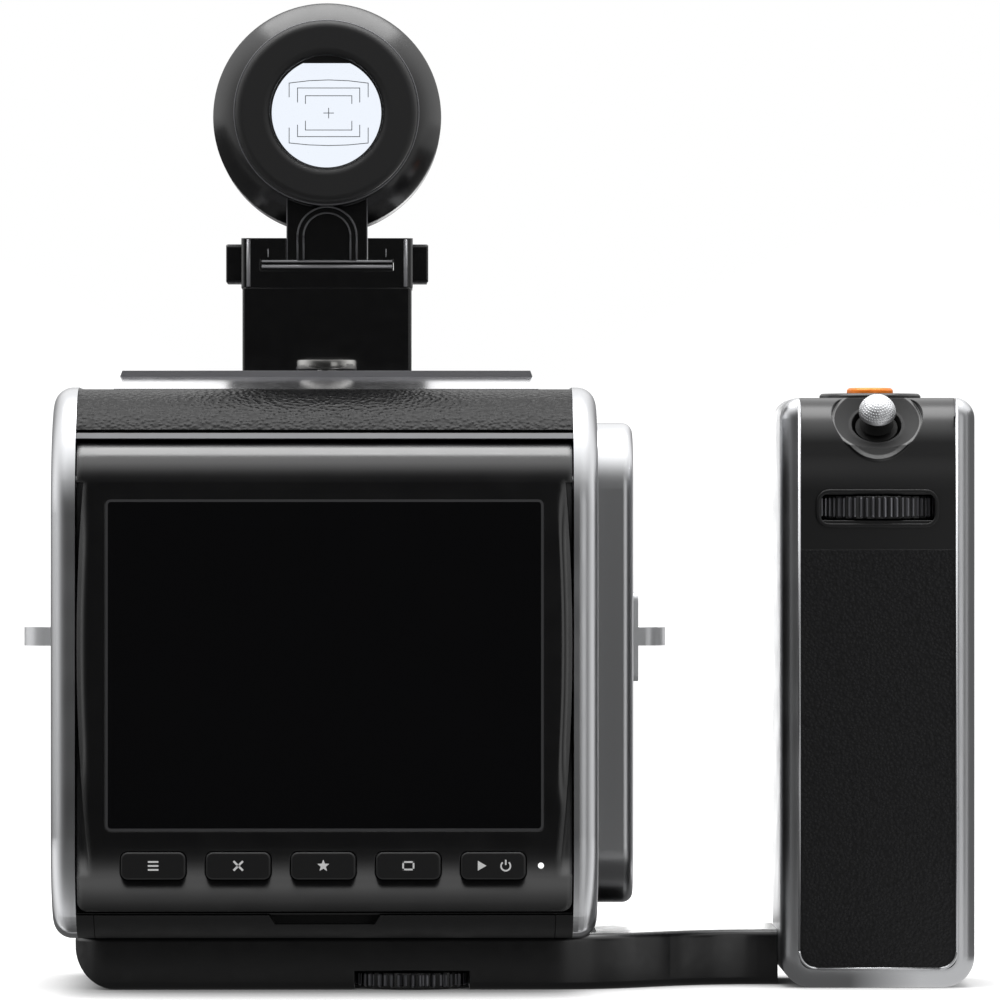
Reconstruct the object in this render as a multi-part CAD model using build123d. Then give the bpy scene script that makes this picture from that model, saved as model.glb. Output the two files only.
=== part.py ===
from build123d import *
import os
from math import cos, pi, sin, sqrt

# Medium format camera seen from behind: a digital back with a tilting display, a slim front body
# with an open lens mount, a round optical finder on top, and a side grip on a base plate.
# Millimetres. X runs right as seen from behind, Y forwards to the lens, Z up.
# The origin is the mouth of the tripod socket in the underside of the base plate.

# Fits shared by all sub-parts
running_gap = 0.3
inlay_gap = 0.1
pivot_gap = 0.05
overrun = 1.0

# Whole camera
back_width = 91.0
back_height = 92.4
back_depth = 61.0
front_depth = 23.0
base_thickness = 9.4
socket_setback = 54.0

half_width = back_width / 2
rear_face = -socket_setback
joint_face = rear_face + back_depth
front_face = joint_face + front_depth
back_bottom = base_thickness
back_top = back_bottom + back_height
lens_z = (back_bottom + back_top) / 2

# Side frames of the digital back
frame_band = 4.1
top_rear_radius = 21.0
bottom_rear_radius = 16.5
frame_edge_round = 3.2
inlay_border = 6.0
inlay_depth = 0.8
inlay_thickness = 0.6
inlay_radius = 7.0
inner_half = half_width - frame_band

# Chassis of the digital back
skin_thickness = 0.9
frame_proud = 0.3
chassis_wall = 2.0
skin_reach = 7.3
skin_step = skin_thickness + frame_proud
skin_bottom = back_top - skin_reach
strip_height = 0.9
strip_drop = 0.5
strip_reach = 2.8

# Tilting display
display_thickness = 9.5
display_bottom_rise = 5.0
barrel_radius = 6.8
barrel_drop = 16.0
hinge_pin_radius = 1.5
hinge_pin_length = 2.4
display_corner = 1.7
display_side_cut = 1.9
display_side_step = 0.9
display_side_radius = 330.0
display_side_rise = 17.0
glass_rise = 18.6
glass_side_border = 4.8
glass_top_border = 2.9
glass_thickness = 1.0
glass_corner = 0.8
panel_border = 2.2
panel_thickness = 2.4
back_cover_thickness = 1.2
back_cover_border = 3.0

barrel_y = rear_face + barrel_radius
barrel_z = back_top - barrel_drop
display_bottom = back_bottom + display_bottom_rise
display_half = inner_half - running_gap
glass_width = 2 * (display_half - glass_side_border)
glass_height = barrel_z - glass_top_border - back_bottom - glass_rise
bay_back = rear_face + display_thickness + running_gap
barrel_bay_radius = barrel_radius + running_gap

# Display keys
key_names = ["menu_button", "cross_button", "star_button", "square_button", "play_button"]
key_height = 4.6
key_corner = 1.2
key_spacing = 3.3
key_row_inset = 12.9
key_offset = -0.2
key_rise = 12.8
key_proud = 0.15
key_length = 2.8
key_travel = 0.6
key_gap = 0.15
key_edge = 0.4
key_pitch = 2 * (display_half - key_row_inset) / (len(key_names) - 1)
key_width = key_pitch - key_spacing
key_z = back_bottom + key_rise
key_face = rear_face - key_proud

# Battery and its shaft
battery_end_width = 3.0
battery_foot_height = 4.3
battery_back = 14.3
battery_height = 52.0
battery_side_gap = 2.4
notch_top_width = 19.7
notch_bottom_width = 16.6
notch_depth = 1.6
notch_reach = 10.0
battery_half = inner_half - battery_end_width
cavity_rear = barrel_y + barrel_bay_radius + chassis_wall
battery_front = cavity_rear + battery_back

# Inside of the digital back
cover_plate_thickness = 2.0
window_width = 50.0
window_height = 39.0
pillar_radius = 2.0
pillar_length = 21.0
pillar_inset = 5.0
board_thickness = 1.6
board_margin = 3.2
shield_width = 30.0
shield_height = 26.0
shield_thickness = 3.0

# Sensor block
flange_focal = 18.3
carrier_width = 62.0
carrier_height = 50.0
carrier_lip = 1.2
sensor_width = 50.0
sensor_height = 39.0
sensor_thickness = 2.5
filter_width = 47.5
filter_height = 36.5
filter_thickness = 1.2
image_width = 43.8
image_height = 32.9

# Port bay in the left side, with a door hinged along its rear edge
door_width = 15.0
door_height = 38.0
door_thickness = 1.6
door_rear_share = 0.5
door_pin_radius = 0.6
door_pin_length = 1.2
knuckle_radius = 1.1
port_block_depth = 4.8
usb_width = 3.2
usb_height = 9.0
usb_radius = 1.55
jack_radius = 1.75
port_depth = 4.0
port_pitch_share = 0.3

door_rear = rear_face + back_depth * door_rear_share
door_front = door_rear + door_width
door_low = lens_z - door_height / 2
door_high = lens_z + door_height / 2
knuckle_x = half_width - knuckle_radius

# Front body
front_left_proud = 1.5
wing_width = 7.6
wing_top_radius = 11.5
wing_bottom_radius = 9.5
front_bottom_rise = 3.4
front_top_drop = 5.5
front_corner = 2.6
front_edge_round = 1.8
hump_foot_inset = 7.3
hump_lean = 3.3
hump_rise = 3.2
foot_inset = 15.5
foot_margin = 2.5
leather_border = 4.5
leather_corner = 4.0
leather_clearance = 1.0

front_bottom = back_bottom + front_bottom_rise
front_top = back_top - front_top_drop
front_left = half_width + front_left_proud
front_right = half_width + wing_width
hump_top = back_top + hump_rise
hump_foot_half = half_width - hump_foot_inset
hump_top_half = hump_foot_half - hump_lean
foot_half = half_width - foot_inset

# Saddle on top of the back, and its plate
saddle_rear_setback = 23.0
saddle_slope_run = 7.0
saddle_slope_rise = 2.2
saddle_plate_thickness = 1.0
saddle_rear = joint_face - saddle_rear_setback
saddle_foot = back_top - skin_step

# Catch that frees the back
catch_radius = 5.3
catch_height = 2.2
catch_chamfer = 0.8
catch_stem_radius = 1.8
catch_stem_length = 2.6
catch_travel = 3.0
catch_setback = 11.0
catch_floor = 1.0
catch_teeth = 30
catch_tooth_depth = 0.25

# Lens mount
mount_radius = 36.0
throat_radius = 30.5
mount_proud = 1.0
mount_sink = 1.6
chamber_radius = 32.6
lug_inner_radius = 28.6
lug_thickness = 1.6
lug_overlap = 1.5
lug_angle = 52.0
lug_count = 4
chamber_rear = 9.2
contact_half = 9.0
contact_height = 3.2
contact_length = 6.5
contact_count = 9
contact_pin_radius = 0.5
contact_pin_rise = 0.5
lock_pin_radius = 1.2
lock_pin_length = 8.0
lock_pin_proud = 1.0
lock_pin_ring = 33.3
lock_travel = 1.3

mount_face = front_face + mount_proud
sensor_plane = mount_face - flange_focal

# Buttons on the front face
release_inset = 9.7
release_rise = 14.8
release_radius = 4.3
release_length = 8.0
release_proud = 3.0
release_travel = 1.2
dial_radius = 6.9
dial_bore = 5.1
dial_length = 5.0
dial_proud = 2.0
dial_teeth = 32
dial_tooth_depth = 0.3
button_gap = 0.2
unlock_inset = 7.4
unlock_rise = 22.0
unlock_radius = 3.2
unlock_length = 6.2
unlock_proud = 1.6

release_x = front_right - release_inset
unlock_x = unlock_inset - front_left

# Strap lugs
lug_plate_height = 15.6
lug_plate_depth = 9.0
lug_plate_thickness = 1.0
lug_tab_reach = 4.8
lug_tab_half = 3.6
lug_tab_thickness = 3.2
lug_eye_radius = 1.3
lug_lift = 3.5

# Finder pedestal and clamp
pedestal_half = 14.65
pedestal_height = 14.6
pedestal_depth = 20.0
pedestal_setback = 1.0
pedestal_round = 0.6
clamp_half = 14.85
clamp_height = 8.6
clamp_round = 0.9
shoe_half = 11.45
shoe_thickness = 1.8
shoe_rise = 3.0
shoe_groove = 0.4
neck_half = 6.95
clamp_key_height = 6.7
clamp_key_depth = 12.0
clamp_key_proud = 2.7
clamp_key_hold = 0.9
clamp_key_travel = 1.2
clamp_key_round = 0.6

pedestal_rear = joint_face + pedestal_setback
pedestal_front = pedestal_rear + pedestal_depth
pedestal_foot = hump_top
clamp_foot = pedestal_foot + pedestal_height
clamp_top = clamp_foot + clamp_height
shoe_foot = clamp_foot + shoe_rise
shoe_top = shoe_foot + shoe_thickness

# Finder
finder_height = 44.3
finder_setback = 17.0
eyecup_radius = 15.6
eyecup_hole = 9.7
eyecup_length = 4.2
barrel_outer = 19.8
barrel_flare = 12.5
barrel_length = 45.0
barrel_nose = 18.4
finder_bore = 12.6
objective_radius = 16.2
objective_length = 4.0
objective_depth = 3.0
eyepiece_length = 2.6
plate_length = 1.2
mask_radius = 9.4
mask_flat = 8.5
mask_thickness = 0.8
nose_depth = 2.7
barrel_neck = pedestal_rear - joint_face + finder_setback
arch_outer_half = 5.2
arch_inner_half = 4.15
arch_rise = 9.3
arch_proud = 0.5
finder_z = hump_top + finder_height
finder_rear = joint_face - finder_setback

# Base plate and arm
plate_left_inset = 3.0
plate_rear = 26.5
plate_front = 24.0
plate_corner = 6.0
plate_end_radius = 7.5
arm_rear = 11.0
arm_front = 13.0
arm_start_reach = 0.5
arm_end_run = 12.0
arm_bend_radius = 24.0
plate_edge_round = 1.2
pad_margin = 4.0
pad_thickness = 0.8
socket_radius = 3.175
socket_length = 7.0
bush_radius = 5.0
bush_length = 8.4

plate_left = half_width - plate_left_inset
arm_start = half_width + arm_start_reach

# Clamping thumbwheel
thumb_x = 14.6
thumb_y = -18.0
thumb_radius = 9.5
thumb_thickness = 2.6
thumb_teeth = 30
thumb_tooth_depth = 0.5
thumb_recess_half = 9.75
thumb_recess_height = 3.2
thumb_screw_radius = 3.1
thumb_screw_length = 5.0
thumb_screw_end_gap = 1.3
thumb_boss_radius = 5.0

# Grip
grip_distance = 31.7
grip_width = 33.1
grip_drop = 1.5
grip_rear = -22.2
grip_depth = 40.0
grip_band = 3.2
grip_frame_depth = 33.0
grip_bottom_round = 5.3
grip_top_round = 3.6
grip_inner_round = 2.5
grip_edge_round = 1.5
grip_nose_round = 12.0
head_height = 25.9
head_rear_round = 9.5
head_front_round = 6.0
grip_leather = 0.8
grip_recess = 0.4

grip_left = half_width + grip_distance
grip_right = grip_left + grip_width
grip_middle = (grip_left + grip_right) / 2
grip_front = grip_rear + grip_depth
core_half = grip_width / 2 - grip_band
grip_height = back_top - grip_drop
head_foot = grip_height - head_height
head_rear = grip_rear + grip_recess

# Grip controls
wheel_radius = 11.0
wheel_thickness = 3.8
wheel_proud = 1.3
wheel_teeth = 36
wheel_tooth_depth = 0.5
wheel_axle_radius = 1.5
wheel_axle_length = 2.0
wheel_slot_half = 9.65
rear_wheel_rise = 7.2
front_wheel_radius = 9.0
front_wheel_rise = 13.0
front_slot_half = 7.6
collar_radius = 8.75
collar_height = 0.9
collar_setback = 15.0
shutter_radius = 4.0
shutter_proud = 1.0
shutter_length = 3.6
shutter_travel = 0.8
cup_radius = 7.75
cup_hole_radius = 4.25
cup_sink = 1.5
cup_depth = 6.0
cup_floor = 1.0
cup_rim = 0.5
dish_depth = 1.1
cup_angle = 45.0
stick_head_radius = 3.15
stick_stem_radius = 1.1
stick_head_rise = 0.2
gimbal_outer = 3.6
gimbal_inner = 1.9
gimbal_thickness = 1.6
front_key_radius = 2.6
front_key_proud = 0.8
front_key_length = 3.2
front_key_pitch = 9.0
front_key_rise = 3.6


# Helpers
def outline(points, radii=0):
    corners = radii if isinstance(radii, (list, tuple)) else [radii] * len(points)
    return make_face(FilletPolyline(*points, radius=corners, close=True))


# An outline drawn in (y, z), with its thickness along X
def slab_x(face, low, high):
    plane = Plane(origin=(low, 0, 0), x_dir=(0, 1, 0), z_dir=(1, 0, 0))
    return extrude(plane * face, high - low, dir=(1, 0, 0))


# An outline drawn in (x, z), with its thickness along Y
def slab_y(face, low, high):
    plane = Plane(origin=(0, low, 0), x_dir=(1, 0, 0), z_dir=(0, -1, 0))
    return extrude(plane * face, high - low, dir=(0, 1, 0))


# An outline drawn in (x, y), with its thickness along Z
def slab_z(face, low, high):
    return extrude(Pos(0, 0, low) * face, high - low, dir=(0, 0, 1))


def block(x, y, z):
    spans = (x, y, z)
    size = [high - low for low, high in spans]
    middle = [(low + high) / 2 for low, high in spans]
    return Pos(*middle) * Box(*size)


def rounded_rectangle(width, height, radius, x=0, y=0):
    return Pos(x, y) * RectangleRounded(width, height, radius)


def rod(radius, length, foot, axis=(0, 0, 1)):
    bar = Cylinder(radius, length, align=(Align.CENTER, Align.CENTER, Align.MIN))
    return Plane(origin=foot, z_dir=axis) * bar


# A turned piece: the outline is drawn in (radius, height along the axis)
def turned(points, foot, axis=(0, 0, 1), radii=0):
    section = Plane.XZ * outline(points, radii)
    return Plane(origin=foot, z_dir=axis) * revolve(section, Axis.Z)


# A wheel with sharp axial ribs all round
def ribbed_wheel(radius, length, teeth, depth, foot, axis=(0, 0, 1)):
    points = []
    for step in range(2 * teeth):
        reach = radius - depth * (step % 2)
        turn = pi * step / teeth
        points.append((reach * cos(turn), reach * sin(turn)))
    body = extrude(make_face(Polyline(*points, close=True)), length, dir=(0, 0, 1))
    return Plane(origin=foot, z_dir=axis) * body


def rim_edges(solid, axis, last):
    face = solid.faces().sort_by(axis)[-1 if last else 0]
    return face.outer_wire().edges()


def left_of(shape):
    return mirror(shape, about=Plane.YZ)


# Digital back: side frames and their leather inlays
def side_profile(inset=0, bottom_inset=0, front=joint_face):
    points = [
        (rear_face + inset, back_bottom + bottom_inset),
        (front, back_bottom + bottom_inset),
        (front, back_top - inset),
        (rear_face + inset, back_top - inset),
    ]
    return outline(points, [bottom_rear_radius - inset, 0, 0, top_rear_radius - inset])


def inlay_profile(shrink):
    low_y = rear_face + inlay_border + shrink
    high_y = joint_face - inlay_border - shrink
    low_z = back_bottom + inlay_border + shrink
    high_z = back_top - inlay_border - shrink
    corners = [(low_y, low_z), (high_y, low_z), (high_y, high_z), (low_y, high_z)]
    bottom_radius = bottom_rear_radius - inlay_border - shrink
    top_radius = top_rear_radius - inlay_border - shrink
    front_radius = inlay_radius - shrink
    return outline(corners, [bottom_radius, front_radius, front_radius, top_radius])


def port_window(gap):
    return block(
        (inner_half - overrun, half_width + overrun),
        (door_rear - knuckle_radius - gap, door_front + gap),
        (door_low - gap, door_high + gap),
    )


def back_frame():
    plate = slab_x(side_profile(), inner_half, half_width)
    rim = plate.faces().sort_by(Axis.X)[-1].edges().sort_by(Axis.Y)[:-1]
    plate = fillet(rim, frame_edge_round)
    plate -= slab_x(inlay_profile(0), half_width - inlay_depth, half_width + overrun)
    pin = hinge_pin_radius + pivot_gap
    return plate - rod(pin, hinge_pin_length, (inner_half, barrel_y, barrel_z), (1, 0, 0))


def back_frame_left():
    frame = back_frame() - port_window(running_gap)
    pin = rod(
        door_pin_radius + pivot_gap,
        door_height + 2 * (running_gap + door_pin_length),
        (knuckle_x, door_rear, door_low - running_gap - door_pin_length),
    )
    border = block(
        (half_width - inlay_depth, half_width),
        (door_rear - knuckle_radius - inlay_border / 2, door_front + inlay_border / 2),
        (door_low - inlay_border / 2, door_high + inlay_border / 2),
    )
    border -= port_window(running_gap)
    return left_of(frame + border - pin)


def side_inlay():
    depth = half_width - inlay_depth
    return slab_x(inlay_profile(inlay_gap), depth, depth + inlay_thickness)


def side_leathers():
    return Compound([side_inlay(), side_inlay_left()])


def side_inlay_left():
    margin = inlay_border / 2 + inlay_gap
    hole = block(
        (half_width - inlay_depth - overrun, half_width + overrun),
        (door_rear - knuckle_radius - margin, door_front + margin),
        (door_low - margin, door_high + margin),
    )
    return left_of(side_inlay() - hole)


# Digital back: chassis, skin and strip
def back_chassis():
    body = slab_x(side_profile(skin_step), -inner_half, inner_half)
    body += block(
        (-inner_half, inner_half), (-plate_rear, joint_face), (back_bottom, back_bottom + skin_step)
    )
    ends = slab_x(side_profile(), -inner_half, inner_half)
    body += ends & block(
        (-inner_half, inner_half),
        (rear_face, -plate_rear),
        (back_bottom, back_bottom + battery_foot_height),
    )
    across = (-inner_half - overrun, inner_half + overrun)
    body -= block(across, (rear_face - overrun, bay_back), (display_bottom - running_gap, barrel_z))
    top_of_bay = barrel_z + barrel_bay_radius
    body -= block(across, (rear_face - overrun, barrel_y), (barrel_z - overrun, top_of_bay))
    body -= rod(barrel_bay_radius, 2 * across[1], (across[0], barrel_y, barrel_z), (1, 0, 0))
    inside = inner_half - chassis_wall
    body -= block(
        (-inside, inside),
        (cavity_rear, joint_face + overrun),
        (back_bottom + chassis_wall, back_top - skin_step - chassis_wall),
    )
    body -= block(
        (-battery_half - inlay_gap, battery_half + inlay_gap),
        (rear_face - overrun, battery_front + inlay_gap),
        (back_bottom - overrun, back_bottom + battery_foot_height + inlay_gap),
    )
    body -= chrome_strip_space()
    body -= port_space()
    boss_top = back_bottom + chassis_wall + thumb_screw_length
    body += rod(thumb_boss_radius, boss_top - back_bottom, (thumb_x, thumb_y, back_bottom))
    body -= rod(
        thumb_screw_radius + pivot_gap,
        thumb_screw_length + overrun,
        (thumb_x, thumb_y, back_bottom - overrun),
    )
    return body


def chrome_strip_span():
    top = skin_bottom - strip_drop
    reach_z = top - strip_height / 2 - (back_top - top_rear_radius)
    curve = top_rear_radius - frame_proud
    rear = rear_face + top_rear_radius - sqrt(curve**2 - reach_z**2)
    return (rear, rear + strip_reach), (top - strip_height, top)


def chrome_strip_space():
    y, z = chrome_strip_span()
    return block((-inner_half - overrun, inner_half + overrun), (y[0] - overrun, y[1]), z)


def chrome_strip():
    y, z = chrome_strip_span()
    return block((-inner_half, inner_half), y, z)


def top_leather():
    skin = slab_x(side_profile(frame_proud), -inner_half, inner_half)
    skin -= slab_x(side_profile(skin_step), -inner_half - overrun, inner_half + overrun)
    return skin & block(
        (-inner_half, inner_half),
        (rear_face, saddle_rear),
        (skin_bottom, back_top),
    )


def battery():
    foot = slab_x(side_profile(), -battery_half, battery_half)
    foot &= block(
        (-battery_half, battery_half),
        (rear_face, battery_front),
        (back_bottom, back_bottom + battery_foot_height),
    )
    cell = battery_half - battery_side_gap
    foot += block(
        (-cell, cell),
        (cavity_rear + running_gap, battery_front),
        (back_bottom, back_bottom + battery_height),
    )
    top = back_bottom + battery_foot_height
    notch = outline(
        [
            (-notch_bottom_width / 2, top - notch_depth),
            (notch_bottom_width / 2, top - notch_depth),
            (notch_top_width / 2, top + overrun),
            (-notch_top_width / 2, top + overrun),
        ]
    )
    return foot - slab_y(notch, rear_face - overrun, rear_face + notch_reach)


# Tilting display: a moulded housing with a hinge barrel along its top. Its lower band curves in
# with the side frames
def display_profile():
    curved = outline(
        [(rear_face, back_bottom), (joint_face, back_bottom), (joint_face, barrel_z), (rear_face, barrel_z)],
        [bottom_rear_radius, 0, 0, 0],
    )
    height = barrel_z - display_bottom
    middle = (rear_face + display_thickness / 2, display_bottom + height / 2)
    return curved & Pos(*middle) * Rectangle(display_thickness, height)


# Beside the raised middle, which bulges out to each side, the rear of the housing steps back
def display_side_step_cut():
    low = display_bottom + display_side_rise
    reach = block(
        (display_half - display_side_cut, display_half + overrun),
        (rear_face - overrun, rear_face + display_side_step),
        (display_bottom, barrel_z),
    )
    middle = (low + barrel_z) / 2
    bulge = (display_half - display_side_radius, rear_face - 2 * overrun, middle)
    return reach - rod(display_side_radius, 2 * (display_side_step + overrun), bulge, (0, 1, 0))


def glass_span(inset):
    half = glass_width / 2 - inset
    low = back_bottom + glass_rise + inset
    return (-half, half), (low, low + glass_height - 2 * inset)


def glass_outline(grow):
    middle = back_bottom + glass_rise + glass_height / 2
    return rounded_rectangle(
        glass_width + 2 * grow, glass_height + 2 * grow, glass_corner + grow, 0, middle
    )


def back_cover_span(gap):
    half = display_half - back_cover_border - gap
    low = display_bottom + back_cover_border + gap
    high = barrel_z - barrel_radius - gap
    return (-half, half), (low, high)


def display_housing():
    body = slab_x(display_profile(), -display_half, display_half)
    body += rod(barrel_radius, 2 * display_half, (-display_half, barrel_y, barrel_z), (1, 0, 0))
    low_edges = body.edges().filter_by(Axis.Y).sort_by(Axis.Z)
    corners = [edge for edge in low_edges if edge.center().Z < display_bottom + display_corner]
    body = fillet(corners, display_corner)
    step = display_side_step_cut()
    body -= step
    body -= left_of(step)
    body -= slab_y(glass_outline(inlay_gap), rear_face - overrun, rear_face + glass_thickness)
    x, z = glass_span(panel_border)
    panel_back = rear_face + glass_thickness + panel_thickness + inlay_gap
    body -= block(x, (rear_face, panel_back), z)
    x, z = back_cover_span(0)
    cover_face = rear_face + display_thickness - back_cover_thickness
    body -= block(x, (cover_face, rear_face + display_thickness + overrun), z)
    for name in key_names:
        body -= key_body(name, key_gap, key_travel + key_gap)
    for side in (-1, 1):
        body -= rod(
            hinge_pin_radius, hinge_pin_length, (side * display_half, barrel_y, barrel_z), (-side, 0, 0)
        )
    return body


def display_glass():
    return slab_y(glass_outline(0), rear_face, rear_face + glass_thickness)


def display_panel():
    x, z = glass_span(panel_border + inlay_gap)
    front = rear_face + glass_thickness
    return block(x, (front, front + panel_thickness), z)


def display_cover():
    x, z = back_cover_span(inlay_gap)
    face = rear_face + display_thickness
    return block(x, (face - back_cover_thickness, face), z)


# Each pin is pressed into the barrel and turns in the side frame
def hinge_pins():
    reach = 2 * hinge_pin_length + running_gap - inlay_gap
    pins = []
    for side in (-1, 1):
        foot = (side * (display_half - hinge_pin_length), barrel_y, barrel_z)
        pins.append(rod(hinge_pin_radius, reach, foot, (side, 0, 0)))
    return Compound(pins)


def key_x(name):
    return key_offset + (key_names.index(name) - (len(key_names) - 1) / 2) * key_pitch


def key_body(name, grow=0, extra=0):
    width = key_width + 2 * grow
    height = key_height + 2 * grow
    face = rounded_rectangle(width, height, key_corner + grow, key_x(name), key_z)
    rear = key_face - (overrun if grow else 0)
    return slab_y(face, rear, key_face + key_length + extra)


def display_key(name):
    body = key_body(name)
    return fillet(rim_edges(body, Axis.Y, False), key_edge)


# Inside of the back
def inner_plate():
    inside = inner_half - chassis_wall - inlay_gap
    low = back_bottom + chassis_wall + inlay_gap
    high = back_top - skin_step - chassis_wall - inlay_gap
    rear = joint_face - cover_plate_thickness
    plate = block((-inside, inside), (rear, joint_face), (low, high))
    for x in (-inside + pillar_inset, inside - pillar_inset):
        for z in (low + 2 * pillar_inset, high - pillar_inset):
            plate += rod(pillar_radius, pillar_length, (x, rear, z), (0, -1, 0))
    return plate - window(window_width, window_height, rear - overrun, joint_face + overrun)


def board_span():
    front = joint_face - cover_plate_thickness - pillar_length
    half = inner_half - chassis_wall - board_margin
    low = back_bottom + chassis_wall + thumb_screw_length + board_margin
    high = back_top - skin_step - chassis_wall - board_margin
    return (-half, half), (front - board_thickness, front), (low, high)


def main_board():
    x, y, z = board_span()
    shield = rounded_rectangle(shield_width, shield_height, glass_corner, 0, lens_z)
    return block(x, y, z) + slab_y(shield, y[1], y[1] + shield_thickness)


def window(width, height, low, high):
    return block((-width / 2, width / 2), (low, high), (lens_z - height / 2, lens_z + height / 2))


def carrier_front():
    return sensor_plane + carrier_lip + filter_thickness


def sensor_carrier():
    face = rounded_rectangle(carrier_width, carrier_height, glass_corner, 0, lens_z)
    body = slab_y(face, joint_face, carrier_front())
    back = joint_face - overrun
    front = carrier_front() + overrun
    fit = 2 * inlay_gap
    body -= window(image_width + carrier_lip, image_height + carrier_lip, back, front)
    body -= window(filter_width + fit, filter_height + fit, carrier_front() - filter_thickness, front)
    return body - window(sensor_width + fit, sensor_height + fit, back, sensor_plane)


def image_sensor():
    face = Pos(0, lens_z) * Rectangle(sensor_width, sensor_height)
    return slab_y(face, sensor_plane - sensor_thickness, sensor_plane)


def filter_glass():
    face = Pos(0, lens_z) * Rectangle(filter_width, filter_height)
    return slab_y(face, carrier_front() - filter_thickness, carrier_front())


# Ports behind the side door
def port_space():
    return left_of(
        block(
            (inner_half - port_block_depth, inner_half + overrun),
            (door_rear - knuckle_radius, door_front),
            (door_low, door_high),
        )
    )


def port_block():
    body = block(
        (inner_half - port_block_depth, inner_half),
        (door_rear - knuckle_radius + inlay_gap, door_front - inlay_gap),
        (door_low + inlay_gap, door_high - inlay_gap),
    )
    middle = (door_rear + door_front) / 2
    low, high = inner_half - port_depth, inner_half + overrun
    usb = rounded_rectangle(usb_width, usb_height, usb_radius, middle, lens_z)
    body -= slab_x(usb, low, high)
    for side in (-1, 1):
        height = lens_z + side * door_height * port_pitch_share
        body -= rod(jack_radius, high - low, (low, middle, height), (1, 0, 0))
    return left_of(body)


def port_door():
    plate = block(
        (half_width - door_thickness, half_width), (door_rear, door_front), (door_low, door_high)
    )
    plate += rod(knuckle_radius, door_height, (knuckle_x, door_rear, door_low))
    length = door_height + 2 * (running_gap + door_pin_length - pivot_gap)
    pin_foot = door_low - running_gap - door_pin_length + pivot_gap
    return left_of(plate + rod(door_pin_radius, length, (knuckle_x, door_rear, pin_foot)))


# Front body
def front_outline(inset):
    corners = [
        (-front_left + inset, front_bottom + inset),
        (front_right - inset, front_bottom + inset),
        (front_right - inset, front_top - inset),
        (-front_left + inset, front_top - inset),
    ]
    return outline(corners, max(front_corner, leather_corner if inset else 0))


def hump_outline(low, high):
    lean = (hump_foot_half - hump_top_half) / (hump_top - front_top)
    low_half = hump_top_half + (hump_top - low) * lean
    high_half = hump_top_half + (hump_top - high) * lean
    return outline([(-low_half, low), (low_half, low), (high_half, high), (-high_half, high)])


# The wing beside the back: its rear face curves away at the top and the bottom
def wing():
    section = outline(
        [
            (joint_face, front_bottom),
            (front_face, front_bottom),
            (front_face, front_top),
            (joint_face, front_top),
        ],
        [wing_bottom_radius, 0, 0, wing_top_radius],
    )
    body = slab_x(section, half_width, front_right)
    front_edges = body.edges().filter_by(Axis.X).group_by(Axis.Y)[-1]
    return fillet(rim_edges(body, Axis.X, True) + front_edges, front_edge_round)


def front_shell():
    body = slab_y(front_outline(0), joint_face, front_face)
    rims = rim_edges(body, Axis.Y, True) + rim_edges(body, Axis.Y, False)
    body = fillet(rims, front_edge_round)
    body -= block(
        (half_width, front_right + overrun),
        (joint_face - overrun, front_face + overrun),
        (front_bottom - overrun, front_top + overrun),
    )
    body += wing()
    plate_foot = hump_top - saddle_plate_thickness
    body += slab_y(hump_outline(front_top - front_corner, plate_foot), joint_face, front_face)
    body += block(
        (-foot_half, foot_half),
        (joint_face + foot_margin, plate_front - foot_margin),
        (back_bottom, front_bottom + front_corner),
    )
    body -= slab_y(front_outline(leather_border), front_face - grip_leather, front_face + overrun)
    axis = (0, 1, 0)
    body -= rod(chamber_radius, front_depth, (0, joint_face + chamber_rear, lens_z), axis)
    ring_sink = mount_sink + overrun
    body -= rod(mount_radius + inlay_gap, ring_sink, (0, front_face - mount_sink, lens_z), axis)
    fit = 2 * running_gap
    back = joint_face - overrun
    body -= window(carrier_width + fit, carrier_height + fit, back, joint_face + chamber_rear + overrun)
    body += rod(dial_bore - pivot_gap, dial_length, (release_x, dial_foot(), release_z()), axis)
    body -= dial_space()
    body -= rod(
        release_radius + button_gap,
        release_length + release_travel + button_gap + overrun,
        (release_x, release_foot() - release_travel - button_gap, release_z()),
        axis,
    )
    unlock_foot = front_face + unlock_proud - unlock_length - lock_travel - button_gap
    unlock_depth = unlock_length + lock_travel + button_gap + overrun
    body -= rod(unlock_radius + button_gap, unlock_depth, (unlock_x, unlock_foot, unlock_z()), axis)
    pin_foot = mount_face + lock_pin_proud - lock_pin_length - lock_travel - button_gap
    pin_depth = lock_pin_length + lock_travel + button_gap + overrun
    return body - rod(lock_pin_radius + pivot_gap, pin_depth, (-lock_pin_ring, pin_foot, lens_z), axis)


def release_z():
    return back_bottom + release_rise


def unlock_z():
    return back_bottom + unlock_rise


def release_foot():
    return front_face + release_proud - release_length


def dial_foot():
    return front_face + dial_proud - dial_length


def dial_space():
    space = dial_radius + running_gap
    ring = turned(
        [
            (dial_bore - pivot_gap, 0),
            (space, 0),
            (space, dial_length + overrun),
            (dial_bore - pivot_gap, dial_length + overrun),
        ],
        (release_x, dial_foot() - running_gap, release_z()),
        (0, 1, 0),
    )
    return ring


def front_leather():
    panel = slab_y(
        front_outline(leather_border + inlay_gap), front_face - grip_leather, front_face
    )
    axis = (0, 1, 0)
    low = front_face - grip_leather - overrun
    length = grip_leather + 2 * overrun
    panel -= rod(mount_radius + leather_clearance, length, (0, low, lens_z), axis)
    panel -= rod(dial_radius + leather_clearance, length, (release_x, low, release_z()), axis)
    return panel - rod(unlock_radius + leather_clearance, length, (unlock_x, low, unlock_z()), axis)


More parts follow.
